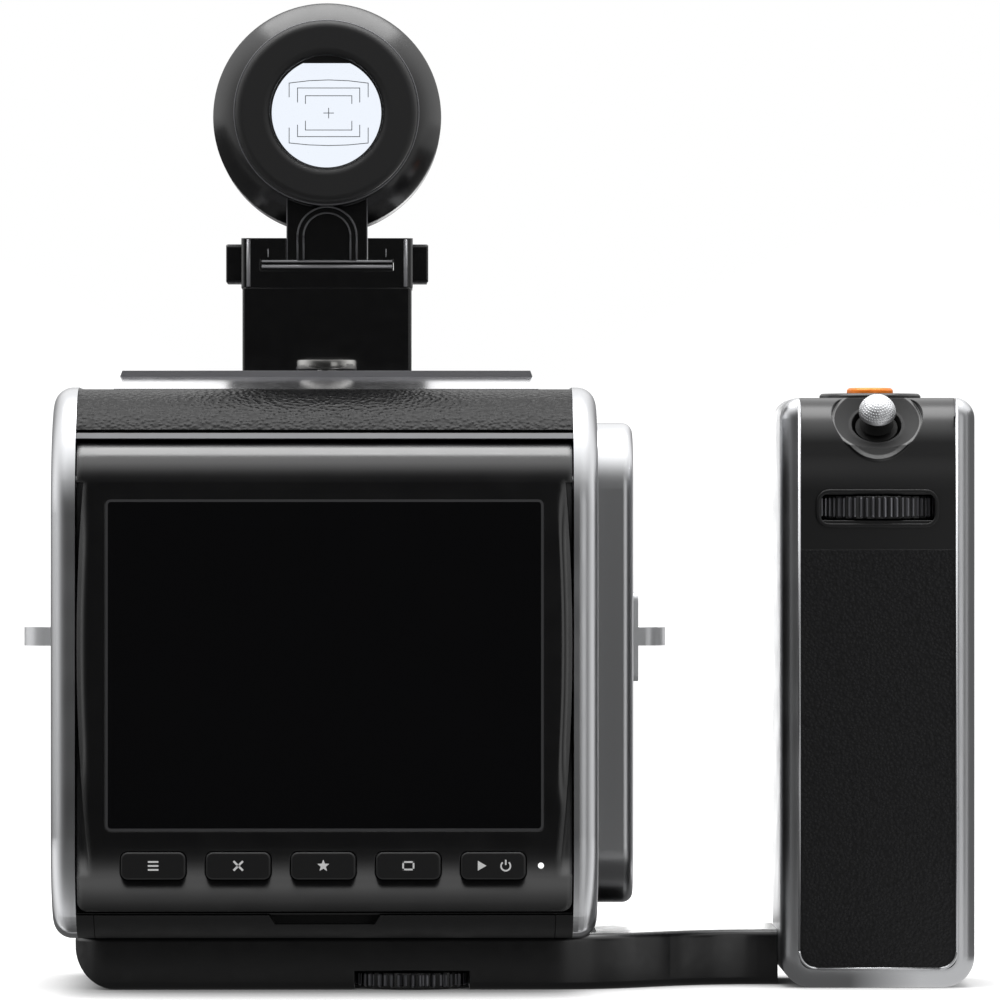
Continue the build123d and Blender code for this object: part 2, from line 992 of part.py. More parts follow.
def top_saddle():
    plate_foot = hump_top - saddle_plate_thickness
    step = saddle_rear + saddle_slope_run
    section = outline(
        [
            (saddle_rear, saddle_foot),
            (joint_face, saddle_foot),
            (joint_face, plate_foot),
            (step, plate_foot),
            (saddle_rear, plate_foot - saddle_slope_rise),
        ]
    )
    body = slab_x(section, -half_width, half_width)
    body &= slab_y(hump_outline(saddle_foot, plate_foot), saddle_rear, joint_face)
    return body - catch_slot(saddle_foot + catch_floor)


def catch_y():
    return joint_face - catch_setback


def catch_slot(low):
    width = 2 * (catch_stem_radius + button_gap)
    length = width + catch_travel
    slot = RectangleRounded(length, width, width / 2 - pivot_gap)
    return slab_z(Pos(catch_travel / 2, catch_y()) * slot, low, hump_top + overrun)


def saddle_plate():
    step = saddle_rear + saddle_slope_run
    low = hump_top - saddle_plate_thickness
    plate = slab_y(hump_outline(low, hump_top), step, front_face)
    return plate - catch_slot(low - overrun)


def back_catch():
    low = hump_top + button_gap
    knob = ribbed_wheel(
        catch_radius, catch_height, catch_teeth, catch_tooth_depth, (0, catch_y(), low)
    )
    knob &= turned(
        [
            (0, 0),
            (catch_radius - catch_chamfer / 2, 0),
            (catch_radius, catch_chamfer / 2),
            (catch_radius, catch_height - catch_chamfer),
            (catch_radius - catch_chamfer, catch_height),
            (0, catch_height),
        ],
        (0, catch_y(), low),
    )
    stem_foot = low - catch_stem_length + pivot_gap
    return knob + rod(catch_stem_radius, catch_stem_length, (0, catch_y(), stem_foot))


# Lens mount: a flange ring with bayonet lugs behind it
def lens_mount_ring():
    axis = (0, 1, 0)
    foot = (0, front_face - mount_sink, lens_z)
    length = mount_sink + mount_proud
    ring = rod(mount_radius, length, foot, axis)
    ring -= rod(throat_radius, length + 2 * overrun, (0, foot[1] - overrun, lens_z), axis)
    lug_rear = foot[1] - lug_thickness
    lugs = rod(throat_radius + lug_overlap, lug_thickness, (0, lug_rear, lens_z), axis)
    hole_length = lug_thickness + 2 * overrun
    lugs -= rod(lug_inner_radius, hole_length, (0, lug_rear - overrun, lens_z), axis)
    reach = 2 * mount_radius
    for index in range(lug_count):
        middle = 2 * pi * (index + 1 / 2) / lug_count
        half = pi / lug_count - lug_angle / 2 * pi / 180
        wedge = make_face(
            Polyline(
                (0, 0),
                (reach * cos(middle - half), reach * sin(middle - half)),
                (reach * cos(middle + half), reach * sin(middle + half)),
                close=True,
            )
        )
        lugs -= Pos(0, 0, lens_z) * slab_y(wedge, lug_rear - overrun, foot[1])
    ring += lugs
    pin_hole_foot = (-lock_pin_ring, foot[1] - overrun, lens_z)
    return ring - rod(lock_pin_radius + pivot_gap, length + 2 * overrun, pin_hole_foot, axis)


def contact_span():
    front = front_face - mount_sink - lug_thickness - running_gap
    return (front - contact_length, front)


def contact_block():
    floor = lens_z - chamber_radius
    body = block((-contact_half, contact_half), contact_span(), (floor, floor + contact_height))
    low = contact_span()[0] - overrun
    body &= rod(chamber_radius, contact_length + 2 * overrun, (0, low, lens_z), (0, 1, 0))
    middle = sum(contact_span()) / 2
    for index in range(contact_count):
        x = (index - (contact_count - 1) / 2) * 2 * contact_half / (contact_count + 1)
        body += rod(contact_pin_radius, contact_pin_rise, (x, middle, floor + contact_height))
    return body


def lens_lock_pin():
    foot = mount_face + lock_pin_proud - lock_pin_length
    return rod(lock_pin_radius, lock_pin_length, (-lock_pin_ring, foot, lens_z), (0, 1, 0))


def domed_button(radius, length, crown, foot, axis):
    points = [(0, 0), (radius, 0), (radius, length - crown), (radius - crown, length), (0, length)]
    return turned(points, foot, axis, [0, 0, crown, crown, 0])


def lens_unlock_button():
    foot = (unlock_x, front_face + unlock_proud - unlock_length, unlock_z())
    return domed_button(unlock_radius, unlock_length, key_edge, foot, (0, 1, 0))


def body_release_button():
    foot = (release_x, release_foot(), release_z())
    return domed_button(release_radius, release_length, key_edge, foot, (0, 1, 0))


def body_dial():
    axis = (0, 1, 0)
    foot = (release_x, dial_foot(), release_z())
    ring = ribbed_wheel(dial_radius, dial_length, dial_teeth, dial_tooth_depth, foot, axis)
    bore_foot = (release_x, dial_foot() - overrun, release_z())
    return ring - rod(dial_bore, dial_length + 2 * overrun, bore_foot, axis)


def strap_lugs():
    return Compound([strap_lug(front_right), left_of(strap_lug(front_left))])


def strap_lug(edge):
    middle = (joint_face + front_face) / 2
    height = lens_z + lug_lift
    plate = rounded_rectangle(lug_plate_depth, lug_plate_height, lug_tab_thickness / 2, middle, height)
    body = slab_x(plate, edge, edge + lug_plate_thickness)
    tab = outline(
        [
            (edge, middle - lug_tab_half),
            (edge + lug_plate_thickness + lug_tab_reach, middle - lug_tab_half),
            (edge + lug_plate_thickness + lug_tab_reach, middle + lug_tab_half),
            (edge, middle + lug_tab_half),
        ],
        [0, lug_tab_half - pivot_gap, lug_tab_half - pivot_gap, 0],
    )
    body += slab_z(tab, height - lug_tab_thickness / 2, height + lug_tab_thickness / 2)
    eye = edge + lug_plate_thickness + lug_tab_reach / 2
    return body - rod(lug_eye_radius, 2 * lug_tab_thickness, (eye, middle, height - lug_tab_thickness))


# Finder: pedestal, clamp with side keys, shoe, stem and optical tube
def finder_pedestal():
    face = RectangleRounded(2 * pedestal_half, pedestal_depth, pedestal_round)
    middle = (pedestal_rear + pedestal_front) / 2
    return slab_z(Pos(0, middle) * face, pedestal_foot, clamp_foot)


def clamp_key_space(gap, depth):
    low = clamp_half - depth
    middle = (pedestal_rear + pedestal_front) / 2
    height = (clamp_foot + clamp_top) / 2
    face = rounded_rectangle(
        clamp_key_depth + 2 * gap, clamp_key_height + 2 * gap, clamp_key_round + gap, middle, height
    )
    return slab_x(face, low, clamp_half + clamp_key_proud)


def finder_clamp():
    middle = (pedestal_rear + pedestal_front) / 2
    face = RectangleRounded(2 * clamp_half, pedestal_depth, clamp_round)
    body = slab_z(Pos(0, middle) * face, clamp_foot, clamp_top)
    along = (pedestal_rear - overrun, pedestal_front + overrun)
    slot = shoe_half + inlay_gap
    body -= block((-slot, slot), along, (shoe_foot, shoe_top + inlay_gap))
    neck = neck_half + inlay_gap
    body -= block((-neck, neck), along, (shoe_top, clamp_top + overrun))
    pocket = clamp_key_space(button_gap, clamp_key_hold + clamp_key_travel + button_gap)
    return body - pocket - left_of(pocket)


def clamp_key(side):
    body = clamp_key_space(0, clamp_key_hold)
    body = fillet(rim_edges(body, Axis.X, True), clamp_key_round / 2)
    return body if side > 0 else left_of(body)


def finder_shoe():
    body = block((-shoe_half, shoe_half), (pedestal_rear, pedestal_front), (shoe_foot, shoe_top))
    middle = (shoe_foot + shoe_top) / 2
    groove = shoe_groove / 2
    return body - block(
        (-shoe_half - overrun, shoe_half + overrun),
        (pedestal_rear - overrun, pedestal_rear + shoe_groove),
        (middle - groove, middle + groove),
    )


def finder_stem():
    body = block((-neck_half, neck_half), (pedestal_rear, pedestal_front), (shoe_top, finder_z))
    arch_top = shoe_top + arch_rise
    rear = pedestal_rear - arch_proud
    outer = outline(
        [
            (-arch_outer_half, shoe_top),
            (arch_outer_half, shoe_top),
            (arch_outer_half, arch_top),
            (-arch_outer_half, arch_top),
        ],
        [0, 0, arch_outer_half - pivot_gap, arch_outer_half - pivot_gap],
    )
    inner_top = arch_top - (arch_outer_half - arch_inner_half)
    inner = outline(
        [
            (-arch_inner_half, shoe_top - overrun),
            (arch_inner_half, shoe_top - overrun),
            (arch_inner_half, inner_top),
            (-arch_inner_half, inner_top),
        ],
        [0, 0, arch_inner_half - pivot_gap, arch_inner_half - pivot_gap],
    )
    body += slab_y(outer, rear, pedestal_rear) - slab_y(inner, rear - overrun, pedestal_rear)
    seat = [
        (0, -overrun),
        (eyecup_radius + running_gap, -overrun),
        (eyecup_radius + running_gap, barrel_neck),
        (barrel_outer, barrel_neck + barrel_flare),
        (barrel_outer, barrel_length + overrun),
        (0, barrel_length + overrun),
    ]
    return body - turned(seat, (0, finder_rear, finder_z), (0, 1, 0))


def finder_barrel():
    tail = eyecup_length - mask_thickness
    glass_rear = eyecup_length + mask_thickness
    nose = objective_start()
    points = [
        (eyecup_radius - running_gap, tail),
        (eyecup_radius + running_gap, tail),
        (eyecup_radius + running_gap, barrel_neck),
        (barrel_outer, barrel_neck + barrel_flare),
        (barrel_outer, nose),
        (barrel_nose, barrel_length),
        (objective_radius, barrel_length),
        (objective_radius, nose),
        (finder_bore, nose - objective_length),
        (finder_bore, glass_rear),
        (eyecup_radius - running_gap, glass_rear),
    ]
    return turned(points, (0, finder_rear, finder_z), (0, 1, 0))


def eyecup():
    inside = eyecup_radius - running_gap - pivot_gap
    points = [
        (eyecup_hole, 0),
        (eyecup_radius, 0),
        (eyecup_radius, eyecup_length - mask_thickness),
        (inside, eyecup_length - mask_thickness),
        (inside, eyecup_length),
        (eyecup_hole, eyecup_length),
    ]
    cup = turned(points, (0, finder_rear, finder_z), (0, 1, 0), [key_corner, key_corner, 0, 0, 0, 0])
    square = Rectangle(2 * mask_radius, 2 * mask_radius)
    hole = Circle(mask_radius) & Pos(0, mask_flat - mask_radius) * square
    low = finder_rear + eyecup_length
    return cup + Pos(0, 0, finder_z) * slab_y(Circle(inside) - hole, low, low + mask_thickness)


def eyepiece_lens():
    foot = (0, finder_rear + eyecup_length + mask_thickness, finder_z)
    return rod(finder_bore, eyepiece_length, foot, (0, 1, 0))


def frame_line_plate():
    foot = (0, finder_rear + barrel_length / 2, finder_z)
    return rod(finder_bore, plate_length, foot, (0, 1, 0))


def objective_lens():
    points = [(0, 0), (objective_radius, 0), (objective_radius, objective_depth), (0, objective_length)]
    return turned(points, (0, finder_rear + objective_start(), finder_z), (0, 1, 0))


def objective_start():
    return barrel_length - nose_depth - objective_length


def finder_lenses():
    return Compound([eyepiece_lens(), frame_line_plate(), objective_lens()])


# Base plate, with the arm that swings forwards to the grip
def base_arm():
    bend = [arm_bend_radius, arm_bend_radius]
    plan = outline(
        [
            (-plate_left, -plate_rear),
            (arm_start, -plate_rear),
            (grip_left - arm_end_run, -arm_rear),
            (grip_left, -arm_rear),
            (grip_left, arm_front),
            (grip_left - arm_end_run, arm_front),
            (arm_start, plate_front),
            (-plate_left, plate_front),
        ],
        [plate_corner, *bend, 0, 0, *bend, plate_corner],
    )
    body = slab_z(plan, 0, base_thickness)
    rims = rim_edges(body, Axis.Z, False) + rim_edges(body, Axis.Z, True)
    body = fillet([edge for edge in rims if edge.center().X < grip_left - pivot_gap], plate_edge_round)
    end = outline(
        [(-plate_left, 0), (grip_right, 0), (grip_right, base_thickness), (-plate_left, base_thickness)],
        [plate_end_radius, 0, 0, 0],
    )
    body &= slab_y(end, -plate_rear - overrun, plate_front + overrun)
    body -= pad_block(0, overrun)
    body -= rod(bush_radius, bush_length + overrun, (0, 0, -overrun))
    body -= block(
        (thumb_x - thumb_recess_half, thumb_x + thumb_recess_half),
        (-plate_rear - overrun, thumb_y + thumb_radius + running_gap),
        (-overrun, thumb_recess_height),
    )
    hole = base_thickness + 2 * overrun
    return body - rod(thumb_screw_radius + pivot_gap, hole, (thumb_x, thumb_y, -overrun))


def pad_block(gap, extra):
    low = -plate_left + plate_end_radius
    face = RectangleRounded(
        arm_start - low - 2 * gap, plate_front + plate_rear - 2 * (pad_margin + gap), plate_corner / 2
    )
    middle = ((arm_start + low) / 2, (plate_front - plate_rear) / 2)
    return slab_z(Pos(*middle) * face, base_thickness - pad_thickness, base_thickness + extra)


def base_pad():
    hole = base_thickness + 2 * overrun
    hole_foot = (thumb_x, thumb_y, -overrun)
    return pad_block(inlay_gap, 0) - rod(thumb_screw_radius + running_gap, hole, hole_foot)


def tripod_bush():
    bush = rod(bush_radius, bush_length, (0, 0, 0))
    return bush - rod(socket_radius, socket_length + overrun, (0, 0, -overrun))


def clamp_thumbwheel():
    foot = (thumb_x, thumb_y, running_gap)
    wheel = ribbed_wheel(thumb_radius, thumb_thickness, thumb_teeth, thumb_tooth_depth, foot)
    length = base_thickness + thumb_screw_length - running_gap - thumb_screw_end_gap
    return wheel + rod(thumb_screw_radius, length, foot)


# Grip: a U-shaped frame round a core, a moulded head and leather panels
def grip_frame():
    outer = outline(
        [(grip_left, 0), (grip_right, 0), (grip_right, grip_height), (grip_left, grip_height)],
        [grip_bottom_round, grip_bottom_round, grip_top_round, grip_top_round],
    )
    inner = outline(
        [
            (grip_left + grip_band, grip_band),
            (grip_right - grip_band, grip_band),
            (grip_right - grip_band, grip_height + overrun),
            (grip_left + grip_band, grip_height + overrun),
        ],
        [grip_inner_round, grip_inner_round, 0, 0],
    )
    body = slab_y(outer, grip_rear, grip_rear + grip_frame_depth)
    rims = rim_edges(body, Axis.Y, True) + rim_edges(body, Axis.Y, False)
    body = fillet(rims, grip_edge_round)
    return body - slab_y(inner, grip_rear - overrun, grip_rear + grip_frame_depth + overrun)


def core_plan(inset, rear):
    low, high = grip_middle - core_half + inset, grip_middle + core_half - inset
    front = grip_front - inset
    return outline(
        [(low, rear), (high, rear), (high, front), (low, front)],
        [0, 0, grip_nose_round - inset, grip_nose_round - inset],
    )


def core_front_view(low, high, inset):
    left, right = grip_middle - core_half + inset, grip_middle + core_half - inset
    rounding = grip_inner_round - inset
    return outline([(left, low), (right, low), (right, high), (left, high)], [rounding, rounding, 0, 0])


def grip_core():
    rear = head_rear + grip_leather
    body = slab_z(core_plan(grip_leather, rear), grip_band, head_foot)
    sides = slab_z(core_plan(0, rear), grip_band, head_foot)
    body += sides & block((grip_left, grip_right), (rear, grip_rear + grip_frame_depth), (0, head_foot))
    return body & slab_y(core_front_view(grip_band, head_foot, 0), rear - overrun, grip_front + overrun)


def grip_rear_leather():
    face = core_front_view(grip_band, head_foot, 0)
    return slab_y(face, head_rear, head_rear + grip_leather)


def grip_front_leather():
    body = slab_z(core_plan(0, head_rear), grip_band, head_foot)
    body -= slab_z(core_plan(grip_leather, head_rear), grip_band - overrun, head_foot + overrun)
    view = core_front_view(grip_band, head_foot, 0)
    return body & slab_y(view, grip_rear + grip_frame_depth, grip_front + overrun)


def grip_leathers():
    return Compound([grip_rear_leather(), grip_front_leather()])


def grip_head():
    section = outline(
        [
            (head_rear, head_foot),
            (grip_front, head_foot),
            (grip_front, grip_height),
            (head_rear, grip_height),
        ],
        [0, 0, head_front_round, head_rear_round],
    )
    body = slab_x(section, grip_middle - core_half, grip_middle + core_half)
    body &= slab_z(core_plan(0, head_rear), head_foot, grip_height)
    body -= wheel_space(rear_wheel_place(), wheel_radius, wheel_slot_half, -1)
    body -= wheel_space(front_wheel_place(), front_wheel_radius, front_slot_half, 1)
    body += release_collar()
    body -= rod(shutter_radius + button_gap, shutter_length + overrun, shutter_hole_foot())
    axis = stick_axis()
    body += rod(cup_radius, cup_depth, cup_point(-cup_sink - cup_depth), axis) & head_room()
    body -= cup_space()
    for side in (-1, 1):
        foot = grip_front - front_key_length - shutter_travel + front_key_proud - button_gap
        place = (grip_middle + side * front_key_pitch / 2, foot, head_foot + front_key_rise)
        body -= rod(front_key_radius + button_gap, front_key_length + 2 * overrun, place, (0, 1, 0))
    return body


def head_room():
    half = core_half - pivot_gap
    return block(
        (grip_middle - half, grip_middle + half),
        (grip_rear, grip_front),
        (head_foot, grip_height),
    )


# The dish and the hole of the joystick's cup, cut into the rounded rear edge of the head
def cup_space():
    reach = cup_sink + overrun
    points = [
        (0, cup_floor - cup_depth),
        (cup_hole_radius, cup_floor - cup_depth),
        (cup_hole_radius, -dish_depth),
        (cup_hole_radius + cup_rim, -dish_depth),
        (cup_radius - cup_rim, 0),
        (cup_radius, 0),
        (cup_radius, reach),
        (0, reach),
    ]
    return turned(points, cup_point(-cup_sink), stick_axis())


def rear_wheel_place():
    return (grip_middle, head_rear - wheel_proud + wheel_radius, head_foot + rear_wheel_rise)


def front_wheel_place():
    return (grip_middle, grip_front + wheel_proud - front_wheel_radius, head_foot + front_wheel_rise)


# Space of a wheel that turns about Z, open to the rear or the front
def wheel_space(place, radius, slot_half, side):
    x, y, z = place
    half = wheel_thickness / 2 + running_gap
    space = rod(radius + running_gap, 2 * half, (x, y, z - half))
    edge = y + side * (radius + overrun)
    low, high = min(y, edge), max(y, edge)
    space += block((x - slot_half, x + slot_half), (low, high), (z - half, z + half))
    axle = wheel_axle_length + pivot_gap
    return space + rod(wheel_axle_radius + pivot_gap, 2 * (half + axle), (x, y, z - half - axle))


def grip_wheel(place, radius):
    x, y, z = place
    half = wheel_thickness / 2
    wheel = ribbed_wheel(radius, wheel_thickness, wheel_teeth, wheel_tooth_depth, (x, y, z - half))
    reach = half + running_gap + wheel_axle_length
    return wheel + rod(wheel_axle_radius, 2 * reach, (x, y, z - reach))


def collar_y():
    return grip_front - collar_setback


def shutter_foot():
    return (grip_middle, collar_y(), grip_height + collar_height + shutter_proud - shutter_length)


def shutter_hole_foot():
    x, y, z = shutter_foot()
    return (x, y, z - shutter_travel - button_gap)


def release_collar():
    foot = (grip_middle, collar_y(), grip_height)
    return domed_button(collar_radius, collar_height, key_edge, foot, (0, 0, 1))


def grip_release_button():
    return domed_button(shutter_radius, shutter_length, key_edge, shutter_foot(), (0, 0, 1))


# The joystick stands square to the rounded rear edge of the head
def stick_axis():
    turn = cup_angle * pi / 180
    return (0, -cos(turn), sin(turn))


def cup_point(along):
    centre = (grip_middle, head_rear + head_rear_round, grip_height - head_rear_round)
    return tuple(c + (head_rear_round + along) * a for c, a in zip(centre, stick_axis()))


def pivot_depth():
    return -cup_sink - (cup_depth - cup_floor) / 2


def joystick():
    axis = stick_axis()
    stem_foot = pivot_depth() - gimbal_thickness / 2
    length = stick_head_rise - stem_foot
    stick = rod(stick_stem_radius, length, cup_point(stem_foot), axis)
    head = Plane(origin=cup_point(stick_head_rise), z_dir=axis) * Sphere(stick_head_radius)
    keep = rod(2 * stick_head_radius, 2 * stick_head_radius, cup_point(stick_head_rise), axis)
    return stick + (head & keep)


def joystick_gimbal():
    axis = stick_axis()
    foot = cup_point(pivot_depth() - gimbal_thickness / 2)
    ring = rod(gimbal_outer, gimbal_thickness, foot, axis)
    start = cup_point(pivot_depth() - gimbal_thickness)
    return ring - rod(gimbal_inner, 2 * gimbal_thickness, start, axis)


def front_key(side):
    foot = grip_front + front_key_proud - front_key_length
    place = (grip_middle + side * front_key_pitch / 2, foot, head_foot + front_key_rise)
    return domed_button(front_key_radius, front_key_length, key_edge, place, (0, 1, 0))


nodes = {
    "back_frame_left": back_frame_left(),
    "back_frame_right": back_frame(),
    "side_leathers": side_leathers(),
    "back_chassis": back_chassis(),
    "top_leather": top_leather(),
    "chrome_strip": chrome_strip(),
    "battery": battery(),
    "display_housing": display_housing(),
    "display_glass": display_glass(),
    "display_panel": display_panel(),
    "display_cover": display_cover(),
    "hinge_pins": hinge_pins(),
    "inner_plate": inner_plate(),
    "main_board": main_board(),
    "sensor_carrier": sensor_carrier(),
    "image_sensor": image_sensor(),
    "filter_glass": filter_glass(),
    "port_block": port_block(),
    "port_door": port_door(),
    "front_shell": front_shell(),
    "front_leather": front_leather(),
    "top_saddle": top_saddle(),
    "saddle_plate": saddle_plate(),
    "back_catch": back_catch(),
    "lens_mount_ring": lens_mount_ring(),
    "contact_block": contact_block(),
    "lens_lock_pin": lens_lock_pin(),
    "lens_unlock_button": lens_unlock_button(),
    "body_release_button": body_release_button(),
    "body_dial": body_dial(),
    "strap_lugs": strap_lugs(),
    "finder_pedestal": finder_pedestal(),
    "finder_clamp": finder_clamp(),
    "clamp_key_left": clamp_key(-1),
    "clamp_key_right": clamp_key(1),
    "finder_shoe": finder_shoe(),
    "finder_stem": finder_stem(),
    "finder_barrel": finder_barrel(),
    "eyecup": eyecup(),
    "finder_lenses": finder_lenses(),
    "base_arm": base_arm(),
    "base_pad": base_pad(),
    "tripod_bush": tripod_bush(),
    "clamp_thumbwheel": clamp_thumbwheel(),
    "grip_frame": grip_frame(),
    "grip_core": grip_core(),
    "grip_leathers": grip_leathers(),
    "grip_head": grip_head(),
    "grip_release_button": grip_release_button(),
    "joystick": joystick(),
    "joystick_gimbal": joystick_gimbal(),
    "front_key_left": front_key(-1),
    "front_key_right": front_key(1),
    "rear_wheel": grip_wheel(rear_wheel_place(), wheel_radius),
    "front_wheel": grip_wheel(front_wheel_place(), front_wheel_radius),
}

for name in key_names:
    nodes[name] = display_key(name)

os.makedirs("parts", exist_ok=True)
for name, shape in nodes.items():
    export_step(shape, f"parts/{name}.step")
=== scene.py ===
from math import acos, atan2, cos, pi, radians, sin

import bmesh
import bpy
from mathutils import Matrix, Vector


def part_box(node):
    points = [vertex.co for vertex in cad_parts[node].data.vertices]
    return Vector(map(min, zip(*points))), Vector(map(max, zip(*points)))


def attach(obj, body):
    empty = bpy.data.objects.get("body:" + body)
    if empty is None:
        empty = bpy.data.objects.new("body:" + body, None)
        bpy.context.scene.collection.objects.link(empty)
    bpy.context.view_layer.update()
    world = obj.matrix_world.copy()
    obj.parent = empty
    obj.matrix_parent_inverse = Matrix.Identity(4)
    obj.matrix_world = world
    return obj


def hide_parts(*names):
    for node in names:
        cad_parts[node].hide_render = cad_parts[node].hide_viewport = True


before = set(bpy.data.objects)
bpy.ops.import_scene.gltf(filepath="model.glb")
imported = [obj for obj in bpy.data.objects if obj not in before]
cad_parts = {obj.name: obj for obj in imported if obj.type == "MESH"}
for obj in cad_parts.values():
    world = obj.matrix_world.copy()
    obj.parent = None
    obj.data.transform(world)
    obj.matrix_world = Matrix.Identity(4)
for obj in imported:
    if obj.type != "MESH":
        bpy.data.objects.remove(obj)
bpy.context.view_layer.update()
mm = 0.001
standing = Matrix.Rotation(pi / 2, 4, "X")      # stands a flat shape up, to face the rear

# Fixed places of the camera, in millimetres, in the same frame as its solids
place = {"lensZ": 55.6, "rearFace": -54.0, "keyRowZ": 22.2, "finderZ": 149.3, "chamberRadius": 32.7}

stickAxis = Vector((0, -cos(pi / 4), sin(pi / 4)))
beads = {
    "middle": (93.75, -19.16, 97.66),      # the dome's middle, in mm
    "dome": 3.15,
    "bead": 0.2,
    "pitch": 0.47,
    "rows": 10,
    "sunk": 0.12,
}


# Small tools

def linear(hexColour):
    # sRGB hex to the linear values that Blender's sockets take
    channels = [int(hexColour[i:i + 2], 16) / 255 for i in (1, 3, 5)]
    return [c / 12.92 if c <= 0.04045 else ((c + 0.055) / 1.055) ** 2.4 for c in channels] + [1.0]


mainSetting = {"Math": "operation", "VectorMath": "operation", "MapRange": "interpolation_type", "Mix": "data_type"}


def addNode(tree, kind, inputs=(), way=None, out=0, **settings):
    # Gives back one output; the others are found through its .node.outputs
    node = tree.nodes.new("ShaderNode" + kind)
    if way:
        settings[mainSetting[kind]] = way
    for name, value in settings.items():
        setattr(node, name, value)
    for name, value in inputs.items() if isinstance(inputs, dict) else enumerate(inputs):
        if isinstance(value, bpy.types.NodeSocket):
            tree.links.new(value, node.inputs[name])
        else:
            node.inputs[name].default_value = value
    return node.outputs[out]


def startMaterial(name, values):
    # A new material with its tree and the sockets of its shader
    material = bpy.data.materials.new(name)
    material.use_nodes = True
    sockets = material.node_tree.nodes["Principled BSDF"].inputs
    for socket, value in values.items():
        sockets[socket].default_value = linear(value) if isinstance(value, str) else value
    return material, material.node_tree, sockets


def objectPlace(tree):
    # Object coordinates are metres in the camera's own frame
    return addNode(tree, "TexCoord", out="Object")


def objectAxes(tree):
    return addNode(tree, "SeparateXYZ", (objectPlace(tree),)).node.outputs


def lensPlace(tree):
    # Where a point lies around the lens axis, whatever its depth
    axis = Vector((0, 0, place["lensZ"])) * mm
    return addNode(tree, "Mapping", {"Vector": objectPlace(tree), "Location": -axis, "Scale": (1, 0, 1)})


def softEdge(tree, radiusMm):
    # The broken edge that machining and moulding leave, which draws the thin light lines
    return addNode(tree, "Bevel", {"Radius": radiusMm * mm}, samples=6)


def speckle(tree, sizeMm, detail=2.0):
    return addNode(tree, "TexNoise", {
        "Vector": objectPlace(tree), "Scale": 1 / (sizeMm * mm), "Detail": detail}, out="Fac")


def spread(tree, value, low, high):
    return addNode(tree, "MapRange", (value, 0.3, 0.7, low, high))


def roughen(tree, sockets, height, depthMm, strength, normal=None):
    relief = {"Height": height, "Distance": depthMm * mm, "Strength": strength}
    if normal:
        relief["Normal"] = normal
    tree.links.new(addNode(tree, "Bump", relief), sockets["Normal"])


def leaned(tree, normal, across=0.0, up=0.0):
    # Turns a normal sideways and upwards, as a slight curve of the surface would
    lean = addNode(tree, "CombineXYZ", (across, 0.0, up))
    total = addNode(tree, "VectorMath", (normal, lean), "ADD")
    return addNode(tree, "VectorMath", (total,), "NORMALIZE")


# Studio: a white floor and backdrop, an overhead softbox, and black flags that keep the edges dark

studio = {
    "eye": (9.87, -1454.0, 82.85),     # mm, on the axis that the photograph converges to
    "yawDegrees": -0.787,
    "lens": 303.9,
    "ambient": 0.9,
    # brightness of what polished parts mirror, by angle from the camera's side round to the back, in degrees
    "sideways": ((0, 0.04), (20, 0.05), (45, 0.16), (62, 0.55), (80, 1.0), (104, 1.4), (122, 1.1), (138, 0.5),
                 (155, 0.25), (168, 0.35), (176, 1.1), (180, 1.4)),
    "upwards": ((0, 0.05), (12, 0.1), (25, 0.3), (38, 0.8), (50, 1.3), (62, 1.7), (95, 1.7), (112, 1.4),
                (128, 1.3), (142, 1.3), (152, 1.3), (163, 0.6), (172, 0.4), (180, 0.4)),
    # how steep a ray is where the first gives way to the second
    "rise": (0.35, 0.95),
    # a softbox overhead: place, size and aim mm, watts
    "overheadBox": ((20, 40, 620), (700, 330), (20, 0, 60), 3.0),
    # a snooted lamp straight above the finder: place mm, radius mm, beam in degrees, watts
    "finderLamp": ((0, 12, 950), 120, 3.2, 2.6),
    # cards that only polished parts mirror: name, low and high corner mm (one size is nil), brightness
    "cards": (
        ("gripCard", (190, -600, -60), (520, -600, 260), 0.9),
        ("gripFlag", (135, -32, 0), (135, 60, 110), 0.15),
        ("farCard", (36, 230, -10), (86, 230, 118), 3.0),
    ),
}


def buildStudio():
    scene = bpy.context.scene
    scene.view_settings.view_transform = "Standard"
    lens = bpy.data.cameras.new("studioCamera")
    lens.sensor_width = 36
    lens.lens = studio["lens"]
    lens.clip_start, lens.clip_end = 0.05, 20
    camera = addRig("studioCamera", lens, studio["eye"])
    camera.rotation_euler = (radians(90), 0, radians(studio["yawDegrees"]))
    scene.camera = camera
    spot, size, aim, watts = studio["overheadBox"]
    lamp = bpy.data.lights.new("overheadBox", "AREA")
    lamp.shape = "RECTANGLE"
    lamp.size, lamp.size_y = size[0] * mm, size[1] * mm
    lamp.energy = watts
    box = addRig("overheadBox", lamp, spot)
    box.rotation_euler = (Vector(aim) - Vector(spot)).to_track_quat("-Z", "Y").to_euler()
    spot, radius, beam, watts = studio["finderLamp"]
    lamp = bpy.data.lights.new("finderLamp", "SPOT")
    lamp.shadow_soft_size = radius * mm
    lamp.spot_size, lamp.spot_blend = radians(beam), 0.3
    lamp.energy = watts
    addRig("finderLamp", lamp, spot)
    for name, low, high, level in studio["cards"]:
        addCard(name, Vector(low) * mm, Vector(high) * mm, level)
    buildWorld(scene)
    buildFloor()
    print("studio ready")


def addRig(name, data, spot):
    rig = bpy.data.objects.new(name, data)
    rig.location = [v * mm for v in spot]
    bpy.context.scene.collection.objects.link(rig)
    return rig


def stageMesh(bm, name, material, unseenBy=()):
    mesh = bpy.data.meshes.new(name)
    bm.to_mesh(mesh)
    bm.free()
    mesh.materials.append(material)
    staged = bpy.data.objects.new(name, mesh)
    for ray in unseenBy:
        setattr(staged, "visible_" + ray, False)
    bpy.context.scene.collection.objects.link(staged)


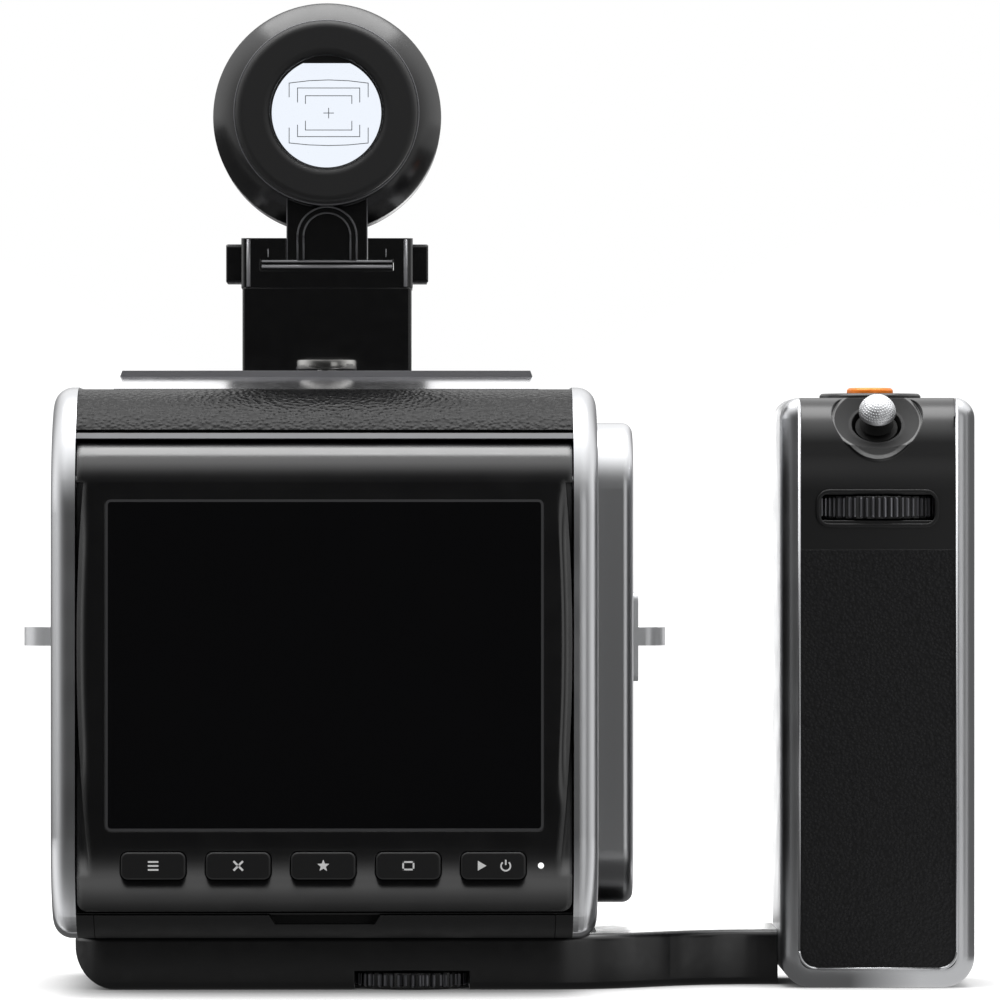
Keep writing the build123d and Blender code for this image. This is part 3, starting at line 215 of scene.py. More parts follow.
def addCard(name, low, high, level):
    # A plain card beside the camera, dark for a flag, which no camera ray or diffuse ray meets
    material = startMaterial(name, {
        "Base Color": (0, 0, 0, 1), "Specular IOR Level": 0.0, "Emission Color": (1, 1, 1, 1),
        "Emission Strength": level})[0]
    bm = bmesh.new()
    bmesh.ops.create_grid(bm, x_segments=1, y_segments=1, size=0.5)
    size = high - low
    if size.x:
        turn, across = standing, size.x
    else:
        turn, across = Matrix.Rotation(pi / 2, 4, "Z") @ standing, size.y
    matrix = Matrix.Translation((low + high) / 2) @ turn @ Matrix.Diagonal((across, size.z, 1, 1))
    bmesh.ops.transform(bm, matrix=matrix, verts=bm.verts)
    stageMesh(bm, name, material, ("camera", "diffuse", "transmission", "volume_scatter", "shadow"))


def addRamp(tree, value, stops):
    # A level that follows stops of angle and brightness
    node = addNode(tree, "FloatCurve", {"Value": value}).node
    curve = node.mapping.curves[0]
    top = max(level for angle, level in stops)
    for index, (angle, level) in enumerate(stops):
        spot = (angle / 180, level / top)
        if index in (0, len(stops) - 1):
            curve.points[0 if index == 0 else -1].location = spot
        else:
            curve.points.new(*spot)
    node.mapping.update()
    return addNode(tree, "Math", (node.outputs[0], top), "MULTIPLY")


def buildWorld(scene):
    world = bpy.data.worlds.new("whiteStudio")
    world.use_nodes = True
    scene.world = world
    tree = world.node_tree
    plain = tree.nodes["Background"]
    plain.inputs["Color"].default_value = (1, 1, 1, 1)
    plain.inputs["Strength"].default_value = studio["ambient"]
    # What is mirrored depends on the angle from the camera's side, and on how far up it lies
    direction = addNode(tree, "TexCoord", out="Generated")
    axes = addNode(tree, "SeparateXYZ", (direction,)).node.outputs
    away = addNode(tree, "Math", (axes["Y"], -1.0), "MULTIPLY")
    angle = addNode(tree, "Math", (away,), "ARCCOSINE")
    turn = addNode(tree, "Math", (angle, pi), "DIVIDE")
    across = addNode(tree, "Math", (angle,), "SINE")
    rise = addNode(tree, "Math", (axes["Z"], across), "DIVIDE")
    up = addNode(tree, "MapRange", (rise, *studio["rise"]), "SMOOTHSTEP")
    mirrored = addNode(tree, "Mix", {
        0: up, 2: addRamp(tree, turn, studio["sideways"]), 3: addRamp(tree, turn, studio["upwards"])}, "FLOAT")
    path = addNode(tree, "LightPath").node.outputs
    through = addNode(tree, "Math", (path["Is Camera Ray"], path["Is Transmission Ray"]), "MAXIMUM")
    level = addNode(tree, "Math", (mirrored, through), "MAXIMUM")
    seen = addNode(tree, "Background", {"Color": (1, 1, 1, 1), "Strength": level})
    direct = addNode(tree, "Math", (through, path["Is Glossy Ray"]), "MAXIMUM")
    mix = addNode(tree, "MixShader", (direct, plain.outputs["Background"], seen))
    tree.links.new(mix, tree.nodes["World Output"].inputs["Surface"])


floorPaint = {
    "colour": "#d0d0d0",
    "glow": 0.62,
    "reach": 12,               # of the contact shadow, in mm
    "depth": 1.3,
    "size": 4000,
    "front": 130,
    "mirrored": 0.14,
    "gripSide": (89, 101, 0.8),    # where what the grip mirrors turns lighter, mm along X, and how light
    "card": (62, 6, 13, 0.6),      # mm behind the middle, half width where it fades, and brightness
}


def buildFloor():
    # Studio floor in matt white paint, glowing bright enough where it is seen to leave only a soft contact shadow,
    # which is painted shade
    material, tree, sockets = startMaterial("matt white studio paint", {
        "Base Color": floorPaint["colour"], "Roughness": 0.9, "Specular IOR Level": 0.0,
        "Emission Color": (1, 1, 1, 1)})
    path = addNode(tree, "LightPath").node.outputs
    seen = addNode(tree, "Math", (path["Is Camera Ray"], path["Is Transmission Ray"]), "MAXIMUM")
    # Painted contact shadow: ambient occlusion near the camera darkens the floor's glow
    nearby = addNode(tree, "AmbientOcclusion", {"Distance": floorPaint["reach"] * mm}, out="AO", samples=12)
    shade = addNode(tree, "Math", (nearby, floorPaint["depth"]), "POWER")
    seen = addNode(tree, "Math", (seen, shade), "MULTIPLY")
    glow = addNode(tree, "Math", (seen, floorPaint["glow"]), "MULTIPLY")
    # What is mirrored from below is grey, and lighter in front of the grip
    axes = objectAxes(tree)
    left, right, light = floorPaint["gripSide"]
    grey = addNode(tree, "MapRange", (axes["X"], left * mm, right * mm, floorPaint["mirrored"], light))
    # A white card lies on the floor just behind the display, for the frames' lower corners
    behind, inner, outer, light = floorPaint["card"]
    middle = addNode(tree, "Math", (axes["Y"], behind * mm), "ADD")
    middle = addNode(tree, "Math", (middle,), "ABSOLUTE")
    card = addNode(tree, "MapRange", (middle, inner * mm, outer * mm, light, 0), "SMOOTHSTEP")
    grey = addNode(tree, "Math", (grey, card), "MAXIMUM")
    mirrored = addNode(tree, "Math", (path["Is Glossy Ray"], grey), "MULTIPLY")
    paint = addNode(tree, "Mix", {
        0: path["Is Glossy Ray"], 6: linear(floorPaint["colour"]), 7: (0, 0, 0, 1)}, "RGBA", out=2)
    tree.links.new(paint, sockets["Base Color"])
    glow = addNode(tree, "Math", (glow, mirrored), "MAXIMUM")
    tree.links.new(glow, sockets["Emission Strength"])
    bm = bmesh.new()
    bmesh.ops.create_grid(bm, x_segments=2, y_segments=2, size=floorPaint["size"] * mm)
    move(bm, bm.verts, (0, floorPaint["size"] - floorPaint["front"], 0))
    stageMesh(bm, "studioFloor", material)


# Finishes

plainFinishes = {
    # finish: name, colour, metallic, roughness, further values of the shader,
    #     sheen: size mm, detail, low and high roughness; relief: size mm, detail, depth mm, strength; edge mm

    # Decorative chrome plate: nearly a mirror, with the faint haze of handling
    "polishedChrome": ("polished chrome plate", "#e4e5e7", 1, 0.14,
                       {}, (3, 2, 0.1, 0.18), (0.4, 2, 0.001, 0.5), 0.12),
    # Chrome over a blasted base: bright, with highlights spread wide
    "satinChrome": ("satin chrome plate", "#f2f2f4", 1, 0.22, {}, (4, 2, 0.2, 0.24), (2, 0, 0.003, 0.4), 0),
    # Chrome over a finely brushed strip, pearly where it faces the eye
    "brushedChrome": ("pearl chrome plate", "#e0e1e3", 0.55, 0.3, {}, (5, 0, 0.28, 0.32), (2, 0, 0.003, 0.4), 0),
    # Satin chrome of the joystick, dulled by the press between its beads
    "beadedChrome": ("pressed satin chrome", "#dcdddf", 1, 0.4, {}, (0.8, 2, 0.36, 0.44), (0.5, 0, 0.002, 0.4), 0),
    # Nickel plate over a fine turning: dark where it faces the eye, with a light patch on each flank
    "turnedNickel": ("turned nickel plate", "#9d9c9a", 1, 0.2, {}, (1.5, 2, 0.17, 0.23), (2, 0, 0.003, 0.4), 0),
    # Black anodised aluminium: deep black, satin, with light catching on the broken edges
    "blackAnodised": ("black anodised aluminium", "#040405", 0, 0.22,
                      {"IOR": 1.6}, (2, 2, 0.19, 0.25), (0.2, 2, 0.0015, 0.5), 0.3),
    # Black anodised ribs, milled sharp enough to catch a line of light each
    "ribbedWheel": ("milled black anodised ribs", "#76767a", 0.8, 0.3, {}, None, (0.2, 2, 0.0015, 0.5), 0.12),
    # Grey metal strips just brighter than the black faces beside them, laid along edges as painted highlights for the
    # light those edges catch
    "paintedBrightLine": ("light grey strip for a painted edge highlight", "#9c9c9f", 0.45, 0.35, {}, None, (0.25, 2, 0.001, 0.4), 0),
    "paintedDullLine": ("grey strip for a painted faint edge highlight", "#626265", 0.45, 0.35, {}, None, (0.25, 2, 0.001, 0.4), 0),
    # Dyed anodised aluminium: saturated orange with a metal glint
    "orangeAnodised": ("orange anodised aluminium", "#f8841c", 0.2, 0.32,
                       {}, (1, 2, 0.28, 0.36), (0.2, 2, 0.003, 0.4), 0.15),
    # Gold plate on sprung pins, warm and softly polished
    "goldPlate": ("hard gold plate", "#d9a441", 1, 0.2, {}, None, (0.2, 2, 0.0008, 0.4), 0),
    # Grey enamel on the saddle plate, smooth enough to pick up the softbox
    "saddlePaint": ("mid grey enamel", "#646467", 0, 0.35, {}, None, (0.3, 2, 0.004, 0.4), 0.2),
    # Matt moulded keys with a fine spark-eroded grain
    "keyMoulding": ("spark-eroded moulded ABS", "#0e0e0f", 0, 0.4, {}, None, (0.18, 2, 0.006, 0.6), 0.2),
    # Plain mouldings, dull black with a soft sheen at their edges
    "innerMoulding": ("black moulded ABS", "#060607", 0, 0.42, {}, (3, 2, 0.38, 0.46), (0.2, 2, 0.004, 0.5), 0.18),
    # Moulded silicone rubber: matt, slightly dusty where it turns to the light
    "softRubber": ("moulded silicone rubber", "#121213", 0, 0.55, {}, None, (0.25, 2, 0.006, 0.5), 0.3),
    # Matt black rubber that hardly shows any light
    "deepBlack": ("matt black neoprene", "#060606", 0, 0.75,
                  {"Specular IOR Level": 0.3}, None, (0.3, 2, 0.003, 0.5), 0),
    # A dark grey ring, a shade lighter than the black beside it
    "glassBorder": ("dark grey border ring", "#2e2e30", 0, 0.45, {}, None, (0.3, 2, 0.003, 0.4), 0),
    # Chemically hardened cover glass over a black printed panel, seen as one deep black sheet
    "coverGlass": ("black-backed cover glass", "#050506", 0, 0.04, {"IOR": 1.5}, (12, 2, 0.03, 0.07), None, 0),
    # Ground optical glass with a thin coating, which tints what shows through it
    "finderGlass": ("coated finder glass", "#fafcff", 0, 0, {"IOR": 1.08, "Transmission Weight": 1}, None, None, 0),
    "filterGlass": ("infrared filter glass", "#cfe6dc", 0, 0, {"IOR": 1.08, "Transmission Weight": 1}, None, None, 0),
    # Lacquered circuit board: glossy green
    "solderMask": ("green solder mask", "#1d5a35", 0, 0.35, {}, None, (0.8, 2, 0.01, 0.5), 0),
    # Screen-printed icon ink, slightly raised and matt
    "printedInk": ("screen-printed grey ink", "#c4c4c4", 0, 0.6, {}, None, (0.15, 2, 0.004, 0.5), 0),
    # Chemically blackened line on the frame plate of the finder
    "etchedLine": ("blackened etched line", "#8d8f96", 0, 0.8, {}, (0.6, 2, 0.7, 0.9), None, 0),
    # Diffuser of the status lamp: translucent white polymer, lit
    "litDiffuser": ("lit white diffuser", "#e8e8e8", 0, 0.4,
                    {"Emission Color": (1, 1, 1, 1), "Emission Strength": 0.5}, None, (0.2, 2, 0.003, 0.4), 0),
}




def plainFinish(key):
    name, colour, metallic, roughness, values, sheen, relief, edgeMm = plainFinishes[key]
    material, tree, sockets = startMaterial(name, {
        "Base Color": colour, "Metallic": metallic, "Roughness": roughness, **values})
    if sheen:
        size, detail, low, high = sheen
        tree.links.new(spread(tree, speckle(tree, size, detail), low, high), sockets["Roughness"])
    if relief:
        size, detail, depth, strength = relief
        edge = softEdge(tree, edgeMm) if edgeMm else None
        roughen(tree, sockets, speckle(tree, size, detail), depth, strength, edge)
    return material


# The lower ends of the back's frames: top and bottom of the lean in mm, its amount, and the rearmost Y for it
frameFoot = {"top": 27, "bottom": 12, "lean": 1.1, "rear": -30}


def anodisedAluminium(name, edgeMm):
    # Fine bead-blasted aluminium with a clear anodised skin: a soft, broad sheen without sharp mirror
    material, tree, sockets = startMaterial(name, {"Base Color": "#c6c7c9", "Metallic": 1.0, "Roughness": 0.3})
    tree.links.new(spread(tree, speckle(tree, 6.0, 0.0), 0.28, 0.32), sockets["Roughness"])
    # The lower ends of the back's frames lean back, and pick up the light from above
    axes = objectAxes(tree)
    bare = addNode(tree, "NewGeometry", out="Normal")
    facing = addNode(tree, "SeparateXYZ", (bare,)).node.outputs
    rear = addNode(tree, "MapRange", (facing["Y"], -0.5, -0.1, 1, 0), "SMOOTHSTEP")
    back = addNode(tree, "Math", (axes["Y"], frameFoot["rear"] * mm), "LESS_THAN")
    lean = addNode(tree, "MapRange", (
        axes["Z"], frameFoot["bottom"] * mm, frameFoot["top"] * mm, frameFoot["lean"], 0.0))
    for factor in (rear, back):
        lean = addNode(tree, "Math", (lean, factor), "MULTIPLY")
    normal = leaned(tree, softEdge(tree, edgeMm) if edgeMm else bare, up=lean)
    # Bead marks are 0.05 mm, drawn at 2 mm to show at all
    roughen(tree, sockets, speckle(tree, 2.0, 0.0), 0.004, 0.4, normal)
    return material


def shellAluminium():
    # The front body's shell: the same skin outside, matt black flocked paint in the lens chamber
    skin = "#cfd0d2"
    material, tree, sockets = startMaterial("anodised aluminium, blackened chamber", {
        "Base Color": skin, "Metallic": 1.0, "Roughness": 0.3})
    distance = addNode(tree, "VectorMath", (lensPlace(tree),), "LENGTH", out="Value")
    inside = addNode(tree, "Math", (distance, place["chamberRadius"] * mm), "LESS_THAN")
    colour = addNode(tree, "Mix", {0: inside, 6: linear(skin), 7: linear("#0d0d0e")}, "RGBA", out=2)
    tree.links.new(colour, sockets["Base Color"])
    bare = addNode(tree, "Math", (1.0, inside), "SUBTRACT")
    tree.links.new(bare, sockets["Metallic"])
    rough = addNode(tree, "MapRange", (inside, 0, 1, 0.3, 0.8))
    tree.links.new(rough, sockets["Roughness"])
    roughen(tree, sockets, speckle(tree, 2.0, 0.0), 0.004, 0.4, softEdge(tree, 0.25))
    return material


def turnedSteel():
    # Stainless flange ring, faced on a lathe: fine rings round the lens axis
    material, tree, sockets = startMaterial("lathe-turned stainless steel", {
        "Base Color": "#bfc0c2", "Metallic": 1.0, "Roughness": 0.28, "Anisotropic": 0.5})
    # Tool marks are 0.05 mm apart, drawn at 0.35 mm
    rings = addNode(tree, "TexWave", {
        "Vector": lensPlace(tree), "Scale": 1 / (0.35 * mm * 20), "Distortion": 0.4, "Detail": 1.0},
        out="Fac", wave_type="RINGS", rings_direction="SPHERICAL")
    roughen(tree, sockets, rings, 0.003, 0.5, softEdge(tree, 0.2))
    return material


# The display's housing: the bow of its sides, the roll inside them, its bulged middle and its chin, in mm
housingCurve = {
    "middle": 58.6,
    "radius": 330.0,
    "half": 41.1,
    "inner": 39.2,
    "roll": 2.0,
    "lean": 1.5,
    "fade": (15, 29),          # how far from mid-height the roll fades out
    "bulge": (37.4, 37.6),
    "edges": (0.2, 1.4),       # radius of the broken edges on the bulge, and beside it
    "chin": (18.5, 27.0, 0.8),
}


def glossMoulding():
    # High-gloss moulded polycarbonate over black; the bulged middle rolls over softly at its sides
    material, tree, sockets = startMaterial("gloss moulded polycarbonate", {
        "Base Color": "#040405", "Roughness": 0.2, "IOR": 1.75})
    tree.links.new(spread(tree, speckle(tree, 6.0), 0.17, 0.23), sockets["Roughness"])
    axes = objectAxes(tree)
    side = addNode(tree, "Math", (axes["X"],), "ABSOLUTE")
    outer = addNode(tree, "MapRange", (side, *(x * mm for x in housingCurve["bulge"])))
    sharp, soft = (softEdge(tree, radius) for radius in housingCurve["edges"])
    rolled = addNode(tree, "Mix", {0: outer, 4: sharp, 5: soft}, "VECTOR", out=1)
    low, high, lean = housingCurve["chin"]
    chin = addNode(tree, "MapRange", (axes["Z"], low * mm, high * mm, lean, 0), "SMOOTHSTEP")
    normal = leaned(tree, rolled, sideRoll(tree, axes, side), chin)
    roughen(tree, sockets, speckle(tree, 1.6, 0.0), 0.002, 0.5, normal)
    return material


def sideRoll(tree, axes, side):
    # The rear of the housing rolls over inside its bowed side edges, most at mid-height
    rise = addNode(tree, "Math", (axes["Z"], housingCurve["middle"] * mm), "SUBTRACT")
    square = addNode(tree, "Math", (rise, rise), "MULTIPLY")
    drop = addNode(tree, "Math", (square, 2 * housingCurve["radius"] * mm), "DIVIDE")
    edge = addNode(tree, "Math", (housingCurve["half"] * mm, drop), "SUBTRACT")
    edge = addNode(tree, "Math", (edge, housingCurve["inner"] * mm), "MAXIMUM")
    depth = addNode(tree, "Math", (edge, side), "SUBTRACT")
    near = addNode(tree, "MapRange", (depth, 0.0, housingCurve["roll"] * mm, 1, 0))
    amount = addNode(tree, "Math", (near, 1.3), "POWER")
    inside = addNode(tree, "Math", (depth, -0.02 * mm), "GREATER_THAN")
    rear = addNode(tree, "Math", (axes["Y"], (place["rearFace"] + 0.1) * mm), "LESS_THAN")
    reach = addNode(tree, "Math", (rise,), "ABSOLUTE")
    start, end = housingCurve["fade"]
    fade = addNode(tree, "MapRange", (reach, start * mm, end * mm, housingCurve["lean"], 0.0),
                   "SMOOTHSTEP")
    sign = addNode(tree, "Math", (axes["X"],), "SIGN")
    for factor in (inside, rear, fade, sign):
        amount = addNode(tree, "Math", (amount, factor), "MULTIPLY")
    return amount


# The grip's head: radius of the joystick's matt dish and of its lip, and the swell below the shoulder, in mm
gripHead = {"dish": (7.15, 7.3), "lip": 7.7, "lipRear": -22.1, "lipLean": 0.55, "swell": (84.5, 92.5, 1.3)}


def gripMoulding():
    # Satin moulded ABS of the grip's head; the joystick's dish is left matt so that only its rim shines
    material, tree, sockets = startMaterial("satin moulded ABS", {
        "Base Color": "#0d0d0e", "Roughness": 0.28, "IOR": 1.55})
    middle = addNode(tree, "VectorMath", (objectPlace(tree), Vector(beads["middle"]) * mm), "SUBTRACT")
    reach = addNode(tree, "VectorMath", (middle, stickAxis), "CROSS_PRODUCT")
    distance = addNode(tree, "VectorMath", (reach,), "LENGTH", out="Value")
    inner, outer = gripHead["dish"]
    dish = addNode(tree, "MapRange", (distance, inner * mm, outer * mm, 0.7, 0.28))
    tree.links.new(dish, sockets["Roughness"])
    # The lower lip of the cup is dished, and shows the light from above as a crescent
    axes = objectAxes(tree)
    lip = addNode(tree, "Math", (distance, gripHead["lip"] * mm), "LESS_THAN")
    rear = addNode(tree, "Math", (axes["Y"], gripHead["lipRear"] * mm), "LESS_THAN")
    for factor in (rear, gripHead["lipLean"]):
        lip = addNode(tree, "Math", (lip, factor), "MULTIPLY")
    normal = leaned(tree, softEdge(tree, 0.3), up=lip)
    # Below its shoulder the moulding swells again, which draws a soft patch on each side
    low, high, depth = gripHead["swell"]
    fall = addNode(tree, "MapRange", (axes["Z"], low * mm, high * mm, 1, 0), "SMOOTHSTEP")
    swell = addNode(tree, "Bump", {"Height": fall, "Distance": depth * mm, "Strength": 1.0, "Normal": normal})
    roughen(tree, sockets, speckle(tree, 0.25), 0.0015, 0.4, swell)
    return material


def leatherette(name, hexColour, grainMm, depthMm):
    # Embossed vinyl: rounded pebbles with narrow valleys; the colour is painted darker in the valleys and lighter on
    # the pebbles' tops, as painted shade and highlight
    material, tree, sockets = startMaterial(name, {
        "Base Color": hexColour, "Roughness": 0.3, "Specular IOR Level": 0.15})
    where = objectPlace(tree)
    wobble = speckle(tree, grainMm * 2).node.outputs["Color"]
    push = addNode(tree, "VectorMath", {0: wobble, "Scale": grainMm * 0.7 * mm}, "SCALE")
    bent = addNode(tree, "VectorMath", (where, push), "ADD")
    cells = addNode(tree, "TexVoronoi", {
        "Vector": bent, "Scale": 1 / (grainMm * mm), "Smoothness": 0.5}, out="Distance", feature="SMOOTH_F1")
    height = addNode(tree, "Math", (1.0, cells), "SUBTRACT")
    # Painted shade and highlight: the colour follows the relief, darker in the valleys and lighter on the tops
    reliefShading = addNode(tree, "MapRange", (height, 0.2, 0.9, 0.62, 1.15))
    shadedTint = addNode(tree, "VectorMath", {0: linear(hexColour)[:3], "Scale": reliefShading}, "SCALE")
    tree.links.new(shadedTint, sockets["Base Color"])
    tree.links.new(spread(tree, height, 0.38, 0.26), sockets["Roughness"])
    roughen(tree, sockets, height, depthMm, 0.9, softEdge(tree, 0.2))
    return material


def sensorSilicon():
    # Patterned silicon under its cover: dark, with a violet to green sheen across the face
    material, tree, sockets = startMaterial("patterned silicon", {
        "Base Color": "#1c1a2c", "Metallic": 0.7, "Roughness": 0.18})
    facing = addNode(tree, "LayerWeight", {"Blend": 0.4}, out="Facing")
    sheen = addNode(tree, "Mix", {0: facing, 6: linear("#1c1a2c"), 7: linear("#1f5a4a")}, "RGBA", out=2)
    tree.links.new(sheen, sockets["Base Color"])
    return material


plainNodes = {
    "brushedChrome": ("strap_lugs", "chrome_strip"),
    "satinChrome": ("top_saddle",),
    "beadedChrome": ("joystick",),
    "turnedNickel": ("back_catch",),
    "blackAnodised": (
        "finder_pedestal", "finder_clamp", "finder_stem", "finder_barrel", "finder_shoe", "base_arm",
        "body_dial", "clamp_thumbwheel", "sensor_carrier", "clamp_key_left", "clamp_key_right"),
    "saddlePaint": ("saddle_plate",),
    "keyMoulding": (
        "menu_button", "cross_button", "star_button", "square_button", "play_button", "front_key_left",
        "front_key_right", "rear_wheel", "front_wheel"),
    "innerMoulding": (
        "back_chassis", "battery", "display_cover", "port_block", "contact_block", "grip_core",
        "display_panel"),
    "deepBlack": ("joystick_gimbal",),
    "softRubber": ("eyecup", "base_pad", "port_door"),
    "coverGlass": ("display_glass",),
    "finderGlass": ("finder_lenses",),
    "filterGlass": ("filter_glass",),
    "solderMask": ("main_board",),
    "orangeAnodised": ("grip_release_button",),
}


def dressFrame():
    finishes = {
        anodisedAluminium("bead-blasted anodised aluminium", 0): (
            "back_frame_left", "back_frame_right", "grip_frame"),
        anodisedAluminium("bead-blasted anodised aluminium, broken edges", 0.25): ("inner_plate",),
        shellAluminium(): ("front_shell",),
        turnedSteel(): ("lens_mount_ring", "tripod_bush", "hinge_pins", "lens_lock_pin", "lens_unlock_button",
                        "body_release_button"),
        glossMoulding(): ("display_housing",),
        gripMoulding(): ("grip_head",),
        leatherette("embossed leatherette", "#0d0d0e", 0.75, 0.16): (
            "side_leathers", "top_leather", "front_leather"),
        leatherette("fine embossed leatherette", "#1e1e1f", 0.5, 0.06): ("grip_leathers",),
        sensorSilicon(): ("image_sensor",),
    }
    finishes.update((plainFinish(key), nodes) for key, nodes in plainNodes.items())
    for material, nodes in finishes.items():
        for node in nodes:
            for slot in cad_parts[node].material_slots:
                slot.material = material
    left = set(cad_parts) - {node for nodes in finishes.values() for node in nodes}
    print("frame dressed, nodes without a finish:", sorted(left))


def finishOf(node):
    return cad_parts[node].active_material


# Pieces

def finishPiece(bm, name, body, material, smooth=False):
    bmesh.ops.remove_doubles(bm, verts=bm.verts, dist=0.00001 * mm)
    bmesh.ops.recalc_face_normals(bm, faces=bm.faces)
    mesh = bpy.data.meshes.new(name)
    bm.to_mesh(mesh)
    bm.free()
    for polygon in mesh.polygons:
        polygon.use_smooth = smooth
    mesh.materials.append(material)
    piece = bpy.data.objects.new(name, mesh)
    bpy.context.scene.collection.objects.link(piece)
    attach(piece, body)
    return piece


def pushFaces(bm, faces, way):
    # Extrudes faces, in millimetres, and gives back what moved
    grown = bmesh.ops.extrude_face_region(bm, geom=faces)
    verts = [g for g in grown["geom"] if isinstance(g, bmesh.types.BMVert)]
    move(bm, verts, way)
    return verts, [g for g in grown["geom"] if isinstance(g, bmesh.types.BMFace)]


def spinAbout(bm, geom, middle, axis, angle, steps):
    # Turns geometry about an axis through middle, in millimetres, and closes a full turn
    full = abs(abs(angle) - 2 * pi) < 0.001
    spun = bmesh.ops.spin(bm, geom=geom, cent=Vector(middle) * mm, axis=axis, dvec=(0, 0, 0), angle=angle,
                          steps=steps, use_merge=full)
    return [g for g in spun["geom_last"] if isinstance(g, bmesh.types.BMFace)]


def turnSection(bm, verts, closed, middle, axis, steps):
    # A turned shape from the points of its half section
    edges = [bm.edges.new(pair) for pair in zip(verts, verts[1:] + verts[:1] if closed else verts[1:])]
    spinAbout(bm, edges, middle, axis, 2 * pi, steps)


def move(bm, verts, way, *steps):
    # Applies the steps, the last one first, and then moves the vertices by way, in millimetres
    matrix = Matrix.Translation(Vector(way) * mm)
    for step in steps:
        matrix = matrix @ step
    bmesh.ops.transform(bm, matrix=matrix, verts=verts)


def addSheet(bm, size, *steps):
    made = bmesh.ops.create_grid(bm, x_segments=1, y_segments=1, size=0.5)
    move(bm, made["verts"], *steps, Matrix.Diagonal((size[0] * mm, size[1] * mm, 1, 1)))


def smoothByAngle(piece, degrees):
    piece.data.shade_smooth()
    piece.data.set_sharp_from_angle(angle=radians(degrees))


def addBar(bm, width, height, x=0, z=0, turn=0, depth=0.05):
    # A flat bar in the X-Z plane, centred on (x, z), in millimetres
    made = bmesh.ops.create_cube(bm, size=1.0)
    size = Matrix.Diagonal((width * mm, depth * mm, height * mm, 1))
    move(bm, made["verts"], (x, 0, z), Matrix.Rotation(turn, 4, "Y"), size)
    return made["verts"]


def addPolygon(bm, corners, radius, x=0, z=0, turn=0, inner=None, depth=0.05):
    # A flat regular shape facing the rear, with every other corner drawn in for a star
    made = bmesh.ops.create_circle(bm, cap_ends=True, segments=corners, radius=radius * mm)
    if inner:
        for index, vert in enumerate(made["verts"]):
            if index % 2:
                vert.co *= inner / radius
    move(bm, made["verts"], (x, -depth / 2, z), Matrix.Rotation(turn, 4, "Y"), standing)
    face = [f for f in bm.faces if all(v in made["verts"] for v in f.verts)]
    pushFaces(bm, face, (0, depth, 0))


def addArc(bm, radius, width, start, sweep, steps, depth=0.05):
    # Part of a flat ring in a new bmesh, spun about Y from start through sweep
    addSheet(bm, (width, depth), (0, 0, 0), Matrix.Rotation(start, 4, "Y"), Matrix.Translation((radius * mm, 0, 0)))
    spinAbout(bm, list(bm.faces), (0, 0, 0), (0, 1, 0), sweep, steps)


iconKeys = {
    "ink": 0.05,
    "sunk": 0.02,
    "lamp": (35.9, 0.42, 0.5, 0.3),      # X, depth behind the rear face, radius and length, in mm
    "ring": (0.78, 0.26, radians(-50), radians(280), 28),
    "ringSpot": (2.05, 0, -0.05),
    "row": (
        # node, body, middle x mm, bars: width, height, x, z, turn; shapes: corners, radius, x, z, turn, inner
        ("menu_button", "menu_key", -28.4, ((1.75, 0.28, 0, -0.66), (1.75, 0.28), (1.75, 0.28, 0, 0.66)), ()),
        ("cross_button", "cross_key", -14.3, ((2.2, 0.34, 0, 0, pi / 4), (2.2, 0.34, 0, 0, -pi / 4)), ()),
        ("star_button", "star_key", -0.2, (), ((10, 1.05, 0, 0, 0, 0.46),)),
        ("square_button", "square_key", 13.9,
         ((2.0, 0.28, 0, -0.62), (0.28, 1.5, -0.86), (2.0, 0.28, 0, 0.62), (0.28, 1.5, 0.86)), ()),
        ("play_button", "play_key", 28.0, ((0.26, 0.85, 2.05, 0.55),), ((3, 0.95, -2.1, 0, pi / 2),)),
    ),
}


def buildIcons():
    ink = plainFinish("printedInk")
    for node, body, middle, bars, shapes in iconKeys["row"]:
        bm = bmesh.new()
        if node == "play_button":
            addArc(bm, *iconKeys["ring"])
            move(bm, bm.verts, iconKeys["ringSpot"])
        for shape in shapes:
            addPolygon(bm, *shape)
        for bar in bars:
            addBar(bm, *bar)
        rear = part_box(node)[0][1] / mm + iconKeys["sunk"] - iconKeys["ink"] / 2
        move(bm, bm.verts, (middle, rear, place["keyRowZ"]))
        finishPiece(bm, node.replace("_button", "_icon"), body, ink)
    x, behind, radius, length = iconKeys["lamp"]
    bm = bmesh.new()
    addPolygon(bm, 24, radius, depth=length)
    move(bm, bm.verts, (x, place["rearFace"] + behind, place["keyRowZ"]))
    finishPiece(bm, "status_lamp", "display", plainFinish("litDiffuser"))
    print("icons printed")


def addRoundedRing(bm, middle, size, corner, band, proud):
    # A flat ring with rounded corners that stands off a rear face, in millimetres
    addSheet(bm, size, middle, standing)
    bmesh.ops.bevel(bm, geom=list(bm.verts), offset=corner * mm, affect="VERTICES", segments=6, profile=0.5,
                    material=-1)
    bmesh.ops.inset_region(bm, faces=list(bm.faces), thickness=band * mm, use_even_offset=True, use_boundary=True)
    inner = max(bm.faces, key=lambda f: f.calc_area())
    bmesh.ops.delete(bm, geom=[inner], context="FACES")
    pushFaces(bm, list(bm.faces), (0, -proud, 0))


glassRim = {"over": 0.1, "ring": (0.9, 0.42, 0.03)}        # corner, band and height of the ring, in mm


def buildGlassRim():
    # A dark grey ring round the display glass, a shade lighter than the black beside it
    low, high = (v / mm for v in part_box("display_glass"))
    middle = (low + high) / 2
    wide, tall = ((high - low)[axis] + glassRim["over"] for axis in (0, 2))
    bm = bmesh.new()
    addRoundedRing(bm, (middle[0], low[1], middle[2]), (wide, tall), *glassRim["ring"])
    finishPiece(bm, "display_glass_border", "display", plainFinish("glassBorder"))
    print("display sealed")


